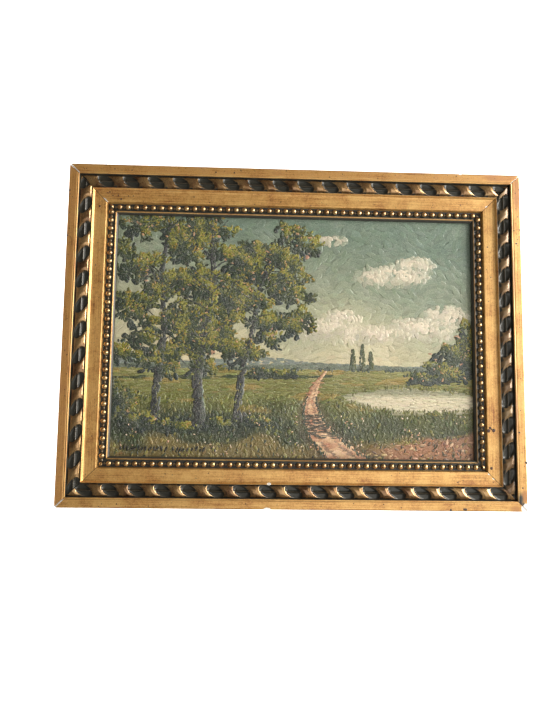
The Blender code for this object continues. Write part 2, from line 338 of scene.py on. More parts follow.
# the four rails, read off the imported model's box. "way" runs clockwise as seen from the front
frameWidth, frameHeight = cadHigh.x - cadLow.x, cadHigh.z - cadLow.z
frameCentre = (cadLow.x + cadHigh.x) / 2, (cadLow.z + cadHigh.z) / 2
frontPlane = cadLow.y
mm = 0.001
rails = {
    "rail_top": {"way": (1, 0), "length": frameWidth, "across": frameHeight},
    "rail_right": {"way": (0, -1), "length": frameHeight, "across": frameWidth},
    "rail_bottom": {"way": (-1, 0), "length": frameWidth, "across": frameHeight},
    "rail_left": {"way": (0, 1), "length": frameHeight, "across": frameWidth},
}
# where the ribbon and the pearls start; dirt and painted shade on the lip's crest, most on the right rail;
# painted shade on the ribbon of the right and bottom rails and painted light on the left; wear of the bands,
# on the left rail partly painted shade
railHabits = {
    "rail_top": (-3.8, -2.6, 0.42, 0.0, {"outerBand": 1.75, "wideBand": 0.8}),
    "rail_right": (-2.3, 2.1, 0.62, 0.40, {"outerBand": 0.85, "wideBand": 0.7}),
    "rail_bottom": (-11.5, -4.1, 0.50, 0.08, {"outerBand": 0.95, "wideBand": 0.8}),
    "rail_left": (-10.3, -3.0, 0.12, -0.36, {"outerBand": 2.1, "wideBand": 1.6}),
}
for railName, (ribbonShift, pearlShift, crestDirt, grime, wear) in railHabits.items():
    rails[railName].update(ribbonShift=ribbonShift * mm, pearlShift=pearlShift * mm,
                           crestDirt=crestDirt, grime=grime, wear=wear)
mitreGap = 0.45 * mm


def mitreEnd(rail, inward):
    return rail["length"] / 2 - inward - mitreGap / math.sqrt(2)


# world points of rail measures: along from the rail's middle, inward from its outer edge, deep
# behind the front
def railToWorld(rail, along, inward, depth):
    wayX, wayZ = rail["way"]
    inX, inZ = wayZ, -wayX
    x = frameCentre[0] - inX * rail["across"] / 2 + wayX * along + inX * inward
    z = frameCentre[1] - inZ * rail["across"] / 2 + wayZ * along + inZ * inward
    return np.stack([x, frontPlane + depth, z], axis=-1)


def addObject(name, mesh, *materials):
    for material in materials:
        mesh.materials.append(material)
    obj = bpy.data.objects.new(name, mesh)
    scene.collection.objects.link(obj)
    return obj


def saveValues(mesh, **values):
    for name, numbers in values.items():
        layer = mesh.attributes.get(name) or mesh.attributes.new(name, "FLOAT", "POINT")
        layer.data.foreach_set("value", np.ascontiguousarray(numbers, np.float32))


# a colour as seen on a screen, 0 to 255, in linear light
def linear(colour):
    share = np.asarray(colour, float) / 255
    return np.where(share <= 0.04045, share / 12.92, ((share + 0.055) / 1.055) ** 2.4)


def savePaint(mesh, colours):
    layer = mesh.attributes.new("paintColour", "FLOAT_COLOR", "POINT")
    values = np.column_stack([linear(colours), np.ones(len(colours))])
    layer.data.foreach_set("color", values.astype(np.float32).ravel())


def smoothed(mesh, sharpFrom):
    mesh.shade_smooth()
    mesh.set_sharp_from_angle(angle=math.radians(sharpFrom))


def facesOutward(mesh):
    made = bmesh.new()
    made.from_mesh(mesh)
    bmesh.ops.recalc_face_normals(made, faces=made.faces)
    made.to_mesh(mesh)
    made.free()


# moulding: its section in millimetres as (inward, deep), from the outer edge round to the back
mouldingLook = {
    "edgeRound": 1.2,
    "edgePoints": 7,
    "section": [
        (1.8, 0.00), (2.4, 0.05), (3.0, 0.01), (3.6, 0.00), (4.3, 0.02), (5.0, 0.06), (5.6, 0.01),
        (6.3, 0.00), (7.0, 0.01), (7.45, 0.04), (7.62, 0.14), (7.74, 0.24), (7.98, 0.24), (8.10, 0.14),
        (8.30, 0.05), (8.70, 0.00), (9.02, 0.05), (9.28, 0.20), (9.45, 0.45), (9.52, 0.80), (9.64, 1.90),
        (9.82, 3.20), (9.96, 4.20), (10.15, 4.50), (12.0, 4.50), (15.7, 4.50), (19.4, 4.50),
        (21.3, 4.50), (21.48, 4.25), (21.66, 3.50), (21.86, 2.50), (21.98, 2.10), (22.12, 2.00),
        (22.38, 2.00), (22.52, 2.08), (22.74, 2.50), (23.05, 3.10), (23.4, 3.65), (23.75, 4.02),
        (24.1, 4.20), (24.7, 4.26), (25.6, 4.36), (26.6, 4.42), (27.8, 4.44), (29.2, 4.47),
        (30.6, 4.52), (32.0, 4.55), (33.2, 4.58), (34.2, 4.59), (34.7, 4.62), (34.95, 4.74),
        (35.1, 5.10), (35.26, 5.90), (35.45, 6.90), (35.62, 7.80), (35.8, 8.15), (36.1, 8.20),
        (39.2, 8.20), (42.3, 8.20), (42.6, 8.12), (42.72, 7.75), (42.84, 7.42), (43.0, 7.32),
        (43.3, 7.38), (43.7, 7.62), (44.2, 7.98), (44.7, 8.38), (45.1, 8.76), (45.32, 9.05),
        (45.4, 9.35), (45.4, 10.2), (45.4, 11.4), (43.5, 11.4), (39.4, 11.4), (39.4, 17.0),
        (39.4, 23.8), (39.2, 24.0), (28.0, 24.0), (14.0, 24.0), (0.4, 24.0), (0.0, 23.6),
        (0.0, 19.0), (0.0, 13.0), (0.0, 7.0), (0.0, 3.6), (0.0, 2.2),
    ],
    "woodFrom": (43.5, 11.4),  # from this point of the section to the outer side the wood is bare
    "woodTo": (0.0, 23.6),
    "stationSpacing": 4.0,
    "endStations": [0.0, 0.2, 0.4, 0.65, 0.95, 1.4, 2.0, 2.8, 3.7, 4.8, 6.0, 7.5, 9.5, 12.0],
    "cornerRound": 2.0,
    "cornerDrop": 0.6,  # how far the front sinks at a corner's tip
    "sharpFrom": 50,
}
# places of dirt and wear on the section, with painted shade in the cove: inward from, inward to, softness,
# strength
dirtAndShadeZones = {
    "quirk": (7.55, 8.15, 0.3, 0.50),
    "ribbonArris": (9.1, 9.6, 0.2, 0.36),
    "ribbonChannel": (9.48, 22.25, 0.12, 1.0),
    # painted shade in the cove, narrowing its bright line
    "coveShade": (22.8, 24.3, 0.5, 0.34),
    "pearlChannel": (35.75, 43.0, 0.4, 1.0),
}
rubZones = {
    "outerBand": (-1, 7.6, 0.6, 0.33),
    "outerEdge": (-1, 0.8, 0.9, 0.42),
    "fillet": (6.9, 9.5, 0.8, 0.16),
    "wideBand": (24.5, 34.8, 0.6, 0.25),
    "innerStep": (34.4, 35.2, 0.5, 0.25),
}


def mouldingSection(look):
    points = []
    for turn in np.linspace(0, math.pi / 2, look["edgePoints"]):
        round_ = look["edgeRound"]
        points.append((round_ * (1 - math.cos(turn)), round_ * (1 - math.sin(turn))))
    return np.array(points + look["section"]) * mm


# marks of age, in millimetres: kind, along, inward, half length, half width. The dark marks are stains
railMarks = {
    "rail_top": [
        ("chip", 157.7, 0.2, 1.5, 1.1), ("rub", 209.0, 2.4, 5.4, 3.6), ("rub", 196.0, 3.6, 24.0, 4.4),
        ("chip", 184.6, 30.8, 0.9, 0.7), ("rub", -181.0, 26.5, 3.0, 1.6), ("rub", 181.0, 33.8, 3.6, 0.9),
        ("rub", 60.0, 0.8, 16.0, 0.9),
    ],
    "rail_right": [
        ("chip", 156.2, 2.0, 3.4, 2.8), ("rub", 146.0, 3.0, 7.0, 3.4), ("rub", -60.0, 8.4, 30.0, 1.0),
        ("dirt", 149.5, 7.0, 7.0, 2.4), ("dirt", 154.0, 4.6, 3.4, 1.6), ("rub", -144.0, 3.6, 26.0, 4.4),
        ("rub", 70.0, 8.6, 34.0, 0.9),
    ],
    "rail_bottom": [
        ("chip", 24.6, 0.3, 3.2, 1.5), ("chip", 23.0, 22.6, 1.6, 1.1), ("chip", -212.6, 3.2, 3.0, 3.0),
        ("rub", -204.0, 2.8, 6.5, 3.4), ("chip", -182.0, 33.4, 1.1, 0.6), ("chip", -186.0, 29.4, 1.0, 0.6),
        ("rub", 150.0, 0.7, 22.0, 0.8), ("rub", -60.0, 0.7, 30.0, 0.8),
    ],
    "rail_left": [
        ("rub", 90.0, 0.6, 26.0, 0.9), ("rub", -70.0, 0.6, 30.0, 0.8), ("rub", 118.0, 29.0, 2.0, 1.3),
    ],
}
markStrength = {"rub": 0.8, "dirt": 0.8, "chip": 1.0}
# gesso bared along the mitres: rail end, inward from, inward to, width
mitreChips = {
    "rail_top": [(-1, 0.3, 9.2, 1.1), (-1, 31.6, 35.2, 1.2), (1, 3.8, 9.0, 0.8)],
    "rail_right": [(1, 1.0, 5.0, 0.7)],
    "rail_bottom": [(-1, 28.6, 30.2, 1.0), (-1, 32.6, 34.2, 1.0), (1, 0.4, 8.0, 0.9)],
    "rail_left": [(1, 0.3, 4.4, 0.8), (-1, 1.0, 7.0, 0.4)],
}


def stationShares(rail, look, marks):
    half = rail["length"] / 2 / mm
    inner = half - look["endStations"][-1]
    count = int(2 * inner / look["stationSpacing"])
    spots = set(np.round(np.linspace(-inner, inner, count), 3))
    for end in look["endStations"]:
        spots |= {round(half - end, 3), round(end - half, 3)}
    for _, along, _, reach, _ in marks:
        if abs(along) < inner:
            step = max(0.35, reach / 9)
            spots |= set(np.round(np.arange(along - reach - 1, along + reach + 1, step), 3))
    ordered = sorted(spot for spot in spots if abs(spot) <= half)
    return np.array(ordered) / half


def roundedCorner(rail, along, inward, depth, look):
    radius, drop = look["cornerRound"] * mm, look["cornerDrop"] * mm
    fromEnd = mitreEnd(rail, inward) - np.abs(along) + inward  # from the outer edge of the next rail
    fromSide, fromNext = radius - inward, radius - fromEnd
    close = (fromSide > 0) & (fromNext > 0)
    reach = np.hypot(fromSide, fromNext) + 1e-9
    share = np.where(close, np.maximum(fromSide, fromNext) / reach, 1.0)
    newInward = np.where(close, radius - fromSide * share, inward)
    pushed = np.abs(along) + fromEnd - (radius - fromNext * share)
    newAlong = np.where(close, np.sign(along) * pushed, along)
    tip = np.clip(1 - np.hypot(newInward, np.maximum(fromEnd, 0)) / (2.2 * radius), 0, 1)
    newDepth = np.where(depth < 3 * mm, depth + drop * tip ** 2, depth)
    return newAlong, newInward, newDepth


# quads between the stations of a swept ring, then both ends
def sweptFaces(stations, ring):
    faces = []
    for low in range(0, (stations - 1) * ring, ring):
        for spot in range(ring):
            after = (spot + 1) % ring
            faces.append((low + spot, low + after, low + ring + after, low + ring + spot))
    return faces + [tuple(range(ring)), tuple(range((stations - 1) * ring, stations * ring))]


# which of the faces are bare wood
def woodFaces(look, section, stations):
    listed = [tuple(np.round(point, 7)) for point in section]
    first, last = (listed.index(tuple(np.round(np.array(look[end]) * mm, 7)))
                   for end in ("woodFrom", "woodTo"))
    return [first <= spot < last for spot in range(len(section))] * (stations - 1) + [True, True]


def buildMoulding(name, rail, look, marks, chips, gilding, wood):
    section = mouldingSection(look)
    shares = stationShares(rail, look, marks)
    inward = np.repeat(section[None, :, 0], len(shares), axis=0)
    depth = np.repeat(section[None, :, 1], len(shares), axis=0)
    along = shares[:, None] * mitreEnd(rail, inward)
    values = {"dirt": mouldingDirtAndShade(rail, inward, depth), "rub": mouldingRubAndShade(rail, along, inward, depth),
              "chip": np.zeros_like(along)}
    for kind, markAlong, markInward, reach, width in marks:
        away = np.hypot((along / mm - markAlong) / reach, (inward / mm - markInward) / width)
        strength = np.clip(1.35 - 0.75 * away, 0, 1) * (depth < 0.012)
        values[kind] = np.maximum(values[kind], strength * markStrength[kind])
    nearMitre = (mitreEnd(rail, inward) - np.abs(along)) / mm
    for end, low, high, width in chips:
        strength = between(inward / mm, low, high, 0.8) * np.clip(1.25 - nearMitre / width, 0, 1)
        values["chip"] = np.maximum(values["chip"], strength * (along * end > 0) * (depth < 0.009))
    points = railToWorld(rail, *roundedCorner(rail, along, inward, depth, look)).reshape(-1, 3)
    mesh = bpy.data.meshes.new(name)
    mesh.from_pydata(points.tolist(), [], sweptFaces(*along.shape))
    bare = woodFaces(look, section, len(shares))
    mesh.polygons.foreach_set("material_index", np.array(bare, np.int32))
    saveValues(mesh, along=along.ravel(), inward=(inward + np.where(depth > 0.0125, depth, 0)).ravel(),
               **{key: value.ravel() for key, value in values.items()})
    facesOutward(mesh)
    smoothed(mesh, look["sharpFrom"])
    return addObject(name, mesh, gilding, wood)


def between(value, low, high, soft):
    rise = np.clip((value - low) / soft + 0.5, 0, 1)
    fall = np.clip((high - value) / soft + 0.5, 0, 1)
    return rise * fall


def mouldingDirtAndShade(rail, inward, depth):
    t, h = inward / mm, depth / mm
    dirt = np.zeros_like(t)
    for low, high, soft, strength in dirtAndShadeZones.values():
        dirt = np.maximum(dirt, between(t, low, high, soft) * strength)
    # the lip's crest carries dirt and painted shade set for each rail; the slope down to the sight edge is
    # nearly fully darkened
    crest = rail["crestDirt"]
    lip = np.interp(t, [42.9, 43.1, 43.8, 44.3, 45.4], [crest + 0.2, crest, crest + 0.05, 0.92, 0.95])
    dirt = np.maximum(dirt, between(t, 43.0, 46.0, 0.4) * lip)
    side = (t < 0.05) & (h > 2)
    return np.where(side, np.interp(h, [2, 6, 24], [0.16, 0.38, 0.62]), dirt)


def mouldingRubAndShade(rail, along, inward, depth):
    t, h = inward / mm, depth / mm
    rub = np.zeros_like(t)
    for zone, (low, high, soft, strength) in rubZones.items():
        onFront = (h < 3) | (low > 0)  # zones from the very edge leave out the frame's side
        # the rail's wear factors, which on the left rail's bands add painted shade
        share = between(t, low, high, soft) * strength * rail["wear"].get(zone, 1.0) * onFront
        rub = np.maximum(rub, share)
    side = (t < 0.05) & (h > 2)
    rub = np.where(side, 0.30 + 0.02 * h, rub)
    nearMitre = mitreEnd(rail, inward) - np.abs(along)
    return np.maximum(rub, np.clip(1 - nearMitre / (1.2 * mm), 0, 1) * 0.42 * (h < 9))


mouldingGold = makeGilding("gildedMoulding", gildingLook, 0.42, 0.26)
bareWood = makeWood("bareWood", woodLook)
for railName, rail in rails.items():
    moulding = buildMoulding(railName + "_moulding", rail, mouldingLook, railMarks[railName],
                             mitreChips[railName], mouldingGold, bareWood)
    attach(moulding, "root")
    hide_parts(railName)
print("stage 3: four mitred mouldings")


# geometry node trees: named inputs first, then the maker's sums
def newTree(name, inputs):
    tree = bpy.data.node_groups.new(name, "GeometryNodeTree")
    tree.interface.new_socket("Geometry", in_out="INPUT", socket_type="NodeSocketGeometry")
    for label, value in inputs.items():
        kind = "Material" if value is None else "Int" if isinstance(value, int) else "Float"
        socket = tree.interface.new_socket(label, in_out="INPUT", socket_type="NodeSocket" + kind)
        if value is not None:
            socket.default_value = value
    tree.interface.new_socket("Geometry", in_out="OUTPUT", socket_type="NodeSocketGeometry")
    start = tree.nodes.new("NodeGroupInput")
    return tree, Wire(tree), {socket.name: Wire(tree, socket) for socket in start.outputs[:-1]}


def endTree(wire, geometry, material):
    real = wire.node("GeometryNodeRealizeInstances", {}, {0: geometry})
    shaded = wire.node("GeometryNodeSetMaterial", {}, {"Geometry": real, "Material": material})
    end = wire.tree.nodes.new("NodeGroupOutput")
    wire.tree.links.new(shaded.socket, end.inputs[0])


def runTree(name, tree, values, start=None):
    obj = bpy.data.objects.new(name, start or bpy.data.meshes.new(name + "_start"))
    scene.collection.objects.link(obj)
    modifier = obj.modifiers.new("make", "NODES")
    modifier.node_group = tree
    for item in tree.interface.items_tree:
        if item.in_out == "INPUT" and item.name in values:
            modifier[item.identifier] = values[item.name]
    bpy.context.view_layer.update()
    graph = bpy.context.evaluated_depsgraph_get()
    mesh = bpy.data.meshes.new_from_object(obj.evaluated_get(graph), depsgraph=graph)
    obj.modifiers.clear()
    bpy.data.objects.remove(obj)
    mesh.name = name
    return mesh


# a tree's small shapes at points that carry values
def dabsAtPoints(name, points, tree, settings, colours=None, **values):
    start = bpy.data.meshes.new(name + "_points")
    start.from_pydata(points.tolist(), [], [])
    saveValues(start, **values)
    if colours is not None:
        savePaint(start, colours)
    mesh = runTree(name, tree, settings, start)
    mesh.shade_smooth()
    return addObject(name, mesh)


def pointValue(wire, name):
    return wire.node("GeometryNodeInputNamedAttribute", {"data_type": "FLOAT"}, {"Name": name})


def ballOf(wire, segments, rings, radius):
    return wire.node("GeometryNodeMeshUVSphere", {}, {
        "Segments": segments, "Rings": rings, "Radius": radius})


def storeValue(wire, geometry, name, value, kind="FLOAT"):
    return wire.node("GeometryNodeStoreNamedAttribute", {"data_type": kind, "domain": "POINT"},
                     {"Geometry": geometry, "Name": name, "Value": value})


def rowOfPoints(wire, count, pitch, shift):
    return wire.node("GeometryNodeMeshLine", {}, {
        "Count": count, "Offset": wire.vector(pitch, 0.0, 0.0),
        "Start Location": wire.vector(shift - pitch * (count - 1) / 2, 0.0, 0.0)})


# enough tiles to pass both mitres. An odd count keeps one tile at the shift
def oddCount(rail, pitch):
    count = int(rail["length"] / pitch) + 2
    return count + 1 - count % 2


# ribbon wound round a stick, one turn as a tile laid along the outer channel
ribbonLook = {
    "middle": 15.7,  # inward, millimetres
    "floor": 4.5,  # deep
    "sunk": 0.4,  # the underside below the floor
    "sharpFrom": 62,
    "inputs": {
        "Pitch": 23.78 * mm, "Radius": 5.75 * mm, "Strap Height": 3.8 * mm, "Wall Run": 1.9 * mm,
        "Opening Length": 18.6 * mm,  # the oval opening between two straps, along its own axis
        "Opening Width": 10.2 * mm,
        "Opening Turn": math.radians(29.0),  # from the rail
        "Columns": 79, "Rows": 39,
    },
}


def ribbonTree(look):
    tree, wire, given = newTree("ribbonAndStick", {
        "Turns": 1, "Shift": 0.0, "Painted Side Shade": 0.0, **look["inputs"], "Material": None})
    pitch, radius, height = given["Pitch"], given["Radius"], given["Strap Height"]
    grid = wire.node("GeometryNodeMeshGrid", {}, {
        "Size X": pitch, "Size Y": radius * 2, "Vertices X": given["Columns"], "Vertices Y": given["Rows"]})
    spot = wire.node("GeometryNodeInputPosition")
    x, across = spot.axis(0), spot.axis(1) / radius
    across = across * (1.25 - across * across * 0.25)  # rows close up towards the walls
    y = across * radius
    crown = wire.sum("SQRT", wire.sum("MAXIMUM", 1 - across * across, 0.0))
    cosine, sine = wire.sum("COSINE", given["Opening Turn"]), wire.sum("SINE", given["Opening Turn"])
    longWay = (x * cosine + y * sine) / (given["Opening Length"] / 2)
    shortWay = (y * cosine - x * sine) / (given["Opening Width"] / 2)
    reach = wire.sum("SQRT", longWay * longWay + shortWay * shortWay)  # 1 on the oval's edge
    wallStart = 1 - given["Wall Run"] / (given["Opening Width"] / 2)
    wall = wire.sum("DIVIDE", reach - wallStart, 1 - wallStart, clamp=True)
    onStrap = wall ** 2.4  # hollow, steepest at the strap's edge
    strap = (crown ** 0.8) * (0.82 + (reach - 1).step(0.0, 0.39) * 0.18)
    stick = across.bump(0.0, 0.17) * 0.52
    opening = wire.sum("MAXIMUM", stick, (crown ** 0.5) * 0.10) + wire.sum("COSINE", reach * 26) * 0.012
    share = opening.blend(strap, onStrap)
    foot = abs(across).step(0.985, 1.0)
    rise = share * (1 - foot) * height
    # dirt and painted shade on the strap's flanks near the openings and at its feet, plus the rail's painted
    # side shade: darker on the right rail, lighter on the left
    flankDirtAndShade = abs(across).step(0.56, 0.92) * (1 - reach.step(1.22, 1.46))
    dirtAndShadeOnStrap = flankDirtAndShade * 0.70 + abs(across).step(0.94, 1.06) * 0.5 + 0.17 + given["Painted Side Shade"]
    dirtInside = 0.95 - across.bump(0.0, 0.11) * 0.24 - onStrap * 0.28
    dirt = dirtInside.blend(dirtAndShadeOnStrap, reach.step(0.95, 0.99)) - reach.bump(1.0, 0.035) * 0.22
    tile = storeValue(wire, grid, "dirt", dirt)
    tile = wire.node("GeometryNodeSetPosition", {}, {
        "Geometry": tile, "Position": wire.vector(x, y, rise)})
    row = rowOfPoints(wire, given["Turns"], pitch, given["Shift"] + pitch / 2)
    laid = wire.node("GeometryNodeInstanceOnPoints", {}, {"Points": row, "Instance": tile})
    real = wire.node("GeometryNodeRealizeInstances", {}, {0: laid})
    joined = wire.node("GeometryNodeMergeByDistance", {}, {"Geometry": real, "Distance": 0.00002})
    endTree(wire, joined, given["Material"])
    return tree


# cuts a run laid along x at both mitres and lists its open edges. y is measured from its middle line
def cutAtMitres(mesh, rail, look):
    made = bmesh.new()
    made.from_mesh(mesh)
    end = mitreEnd(rail, look["middle"] * mm)
    for side in (-1, 1):
        geometry = made.verts[:] + made.edges[:] + made.faces[:]
        bmesh.ops.bisect_plane(made, geom=geometry, plane_co=(side * end, 0, 0), plane_no=(side, 1, 0),
                               clear_outer=True, dist=1e-7)
    return made, [edge for edge in made.edges if edge.is_boundary]


# lays the run on its rail and gives the mesh what the gilding reads
def finishRun(made, mesh, rail, look):
    middle, floor = look["middle"] * mm, look["floor"] * mm
    along = [vert.co.x for vert in made.verts]
    for vert in made.verts:
        x, y, z = vert.co
        vert.co = Vector(railToWorld(rail, x, middle + y, floor - z))
    made.normal_update()
    bmesh.ops.recalc_face_normals(made, faces=made.faces)
    made.to_mesh(mesh)
    made.free()
    count = len(along)
    saveValues(mesh, along=along, inward=np.full(count, middle), rub=np.zeros(count), chip=np.zeros(count))
    mesh.update()
    smoothed(mesh, look["sharpFrom"])
    return addObject(mesh.name, mesh)


def buildRibbon(name, rail, look, tree, material):
    mesh = runTree(name, tree, {
        **look["inputs"], "Turns": oddCount(rail, look["inputs"]["Pitch"]), "Shift": rail["ribbonShift"],
        "Painted Side Shade": rail["grime"], "Material": material})
    made, rim = cutAtMitres(mesh, rail, look)
    grown = bmesh.ops.extrude_edge_only(made, edges=rim)["geom"]
    for item in grown:
        if isinstance(item, bmesh.types.BMVert):
            item.co.z = -look["sunk"] * mm
    under = [item for item in grown if isinstance(item, bmesh.types.BMEdge) and item.is_boundary]
    bmesh.ops.contextual_create(made, geom=under)
    return finishRun(made, mesh, rail, look)


ribbonGold = makeGilding("gildedRibbon", carvedLook, 0.10, 0.10)
ribbonMaker = ribbonTree(ribbonLook)
for railName, rail in rails.items():
    ribbon = buildRibbon(railName + "_ribbon", rail, ribbonLook, ribbonMaker, ribbonGold)
    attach(ribbon, "root")
    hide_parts(railName)
print("stage 4: ribbon wound round its stick")


# pearls with a low link between each two
pearlLook = {
    "middle": 39.2,
    "floor": 8.2,
    "sharpFrom": 60,
    "inputs": {"Pitch": 7.927 * mm, "Radius": 2.6 * mm, "Height": 3.1 * mm, "Link Radius": 1.15 * mm,
               "Link Length": 3.0 * mm, "Seed": 11},
}


def pearlTree(look):
    tree, wire, given = newTree("pearlsAndLinks", {
        "Pearls": 1, "Shift": 0.0, **look["inputs"], "Material": None})
    radius, height = given["Radius"], given["Height"]
    ball = ballOf(wire, 14, 9, radius)
    z = wire.node("GeometryNodeInputPosition").axis(2)
    # dirt and painted shade: each pearl darkens from its top cap down to its base
    ball = storeValue(wire, ball, "dirt", 1 - (z / radius).step(0.10, 0.90) * 0.84)
    ball = wire.node("GeometryNodeTransform", {}, {
        "Geometry": ball, "Translation": wire.vector(0.0, 0.0, height - radius)})
    link = ballOf(wire, 8, 5, given["Link Radius"])
    # the links sit darker: dirt and painted shade
    link = storeValue(wire, link, "dirt", 0.66)
    link = wire.node("GeometryNodeTransform", {}, {
        "Geometry": link, "Translation": wire.vector(given["Pitch"] / 2, 0.0, given["Link Radius"] * 0.35),
        "Scale": wire.vector(given["Link Length"] / given["Link Radius"] / 2, 1.0, 1.0)})
    pair = wire.tree.nodes.new("GeometryNodeJoinGeometry")
    for piece in (ball, link):
        wire.tree.links.new(piece.socket, pair.inputs[0])
    row = rowOfPoints(wire, given["Pearls"], given["Pitch"], given["Shift"])
    swell = wire.randomValue(0.95, 1.04, given["Seed"])
    laid = wire.node("GeometryNodeInstanceOnPoints", {}, {
        "Points": row, "Instance": Wire(tree, pair.outputs[0]), "Scale": wire.vector(1.0, swell, swell)})
    endTree(wire, laid, given["Material"])
    return tree


def buildPearls(name, rail, look, tree, material):
    mesh = runTree(name, tree, {
        **look["inputs"], "Pearls": oddCount(rail, look["inputs"]["Pitch"]), "Shift": rail["pearlShift"],
        "Material": material})
    made, rim = cutAtMitres(mesh, rail, look)
    bmesh.ops.holes_fill(made, edges=rim, sides=0)
    return finishRun(made, mesh, rail, look)


pearlGold = makeGilding("gildedPearls", pearlFinish, 0.0, 0.10)
pearlMaker = pearlTree(pearlLook)
for railName, rail in rails.items():
    pearls = buildPearls(railName + "_pearls", rail, pearlLook, pearlMaker, pearlGold)
    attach(pearls, "root")
    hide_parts(railName)
print("stage 5: pearls and links")


# fly specks and spatters on the two bands, in millimetres: along, inward, half width
speckLook = {
    "placed": {
        "rail_top": [
            (153.7, 2.7, 0.55), (159, 29.6, 0.45), (-77.8, 5.3, 0.7), (-60.3, 5.4, 0.6), (-54, 3.2, 0.65),
            (-10.8, 2.0, 0.5), (-40.4, 34.3, 0.45), (-175.3, 28.9, 0.6), (-170.4, 28.8, 0.6),
            (-167.5, 32.2, 0.8), (-160.7, 29.1, 0.5), (-181.6, 1.0, 0.6), (-173.3, 4.7, 0.5),
            (-178.4, 25.6, 0.7), (-180.2, 26.4, 0.5), (31, 7.0, 0.5), (96, 33.8, 0.4),
        ],
        "rail_right": [
            (-145.6, 1.2, 0.6), (-118.6, 3.0, 0.5), (-104.7, 7.0, 0.6), (-105.7, 1.6, 0.6),
            (-96.1, 3.7, 0.5), (-92.1, 5.1, 0.8), (-89.4, 31.0, 0.6), (86.5, 33.6, 1.5),
            (83.8, 32.2, 1.1), (86.2, 28.9, 1.4), (85.0, 31.0, 0.7), (121.2, 31.6, 1.3),
            (87.5, 6.7, 0.7), (92.6, 1.0, 0.6), (115.1, 0.9, 1.0), (138.3, 4.8, 0.7), (-142, 4.8, 0.5),
        ],
        "rail_bottom": [
            (-152.4, 25.7, 0.7), (-143.8, 1.2, 0.8), (-157.7, 1.9, 1.1), (-156.1, 2.1, 0.8), (-98, 3.1, 0.5),
            (44, 5.2, 0.5), (118, 30.6, 0.5), (-31, 28.2, 0.45), (160, 4.0, 0.55),
        ],
        "rail_left": [
            (120.3, 28.5, 0.9), (133.5, 1.3, 0.7), (90, 1.2, 0.8), (-22, 5.8, 0.5), (-96, 30.1, 0.5),
            (47, 32.0, 0.45), (64, 27.0, 0.35),
        ],
    },
    "strewn": {"rail_top": 90, "rail_right": 60, "rail_bottom": 70, "rail_left": 70},
    "height": 0.15,
    "seed": 23,
    "colour": (0.045, 0.024, 0.014),
    "pale": (0.070, 0.032, 0.020),
    "patchScale": 90.0,
    "roughness": 0.42,
    "swell": 1.18,
}


def speckTree():
    tree, wire, given = newTree("flySpecks", {"Height": 0.0002, "Seed": 1, "Material": None})
    drop, reach = ballOf(wire, 8, 4, 1.0), pointValue(wire, "reach")
    stretch = wire.randomValue(0.75, 1.45, given["Seed"])
    turn = wire.randomValue(0.0, math.pi, given["Seed"] + 1)
    laid = wire.node("GeometryNodeInstanceOnPoints", {}, {
        "Points": given["Geometry"], "Instance": drop, "Rotation": wire.vector(0.0, turn, 0.0),
        "Scale": wire.vector(reach * stretch, given["Height"], reach)})
    endTree(wire, laid, given["Material"])
    return tree


def makeSpeckFinish(look):
    material, wire = newMaterial("flySpeck")
    share = noise(wire, wire.place(), look["patchScale"]).step(0.4, 0.62)
    colour = tint(wire, share, look["colour"], look["pale"])
    finishSurface(wire, {"Roughness": look["roughness"]}, {"Base Color": colour})
    return material


def buildSpecks(name, rail, look, placed, strewn, tree, material):
    dice = np.random.default_rng(look["seed"] + strewn)
    outer = dice.uniform(0, 1, strewn) < 0.5
    inward = np.where(outer, dice.uniform(1.6, 7.0, strewn), dice.uniform(25.5, 34.2, strewn))
    along = dice.uniform(-1, 1, strewn) * (rail["length"] / 2 / mm - inward - 1.5)
    spots = np.concatenate([np.array(placed, float), np.column_stack([
        along, inward, 0.19 + 0.28 * dice.uniform(0, 1, strewn) ** 3])])
    spots[:, 2] *= look["swell"]
    section = mouldingSection(mouldingLook) / mm
    front = section[:np.argmax(section[:, 0] > 42)]
    depth = np.interp(spots[:, 1], front[:, 0], front[:, 1])
    points = railToWorld(rail, spots[:, 0] * mm, spots[:, 1] * mm, depth * mm)
    settings = {"Height": look["height"] * mm, "Seed": look["seed"], "Material": material}
    return dabsAtPoints(name, points, tree, settings, reach=spots[:, 2] * mm)


speckFinish = makeSpeckFinish(speckLook)
speckMaker = speckTree()
for railName, rail in rails.items():
    specks = buildSpecks(railName + "_specks", rail, speckLook, speckLook["placed"][railName],
                         speckLook["strewn"][railName], speckMaker, speckFinish)
    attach(specks, "root")
    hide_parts(railName)
print("stage 6: fly specks")


# painting: a lane under ash trees, in thick strokes on a toned board. Its places are millimetres
# from the middle of the panel, x to the right and z up, and its colours are as seen on a screen
pictureLook = {
    "width": 350.0,
    "height": 238.0,
    "front": 11.7,  # deep behind the frame's front
    "thickness": 4.0,
    "sight": (170.6, 114.6),  # half of the opening that shows
    "gridStep": 2.5,
    "horizon": -31.0,
    "seed": 5,
}
paints = {
    "skyHigh": (104, 121, 103), "skyMiddle": (150, 153, 125), "skyLow": (206, 191, 152),
    "cloudLight": (222, 206, 180), "cloudShade": (176, 168, 144), "hillFar": (118, 126, 118),
    "hillNear": (92, 100, 84), "fieldFar": (138, 134, 76), "fieldMiddle": (108, 108, 48),
    "fieldDark": (54, 62, 36), "ochre": (160, 128, 62), "pond": (206, 193, 160),
    "pondShade": (120, 120, 90), "earth": (172, 116, 82), "earthLight": (216, 180, 138),
    "earthShade": (92, 70, 52), "barkDark": (38, 40, 42), "barkLight": (112, 116, 106),
    "leafShade": (34, 46, 42), "leafDark": (46, 58, 36), "leafMiddle": (84, 88, 36),
    "leafLight": (136, 130, 46), "leafGold": (158, 124, 48), "blossom": (210, 156, 120),
    "reed": (74, 78, 40), "mark": (24, 20, 16),
}
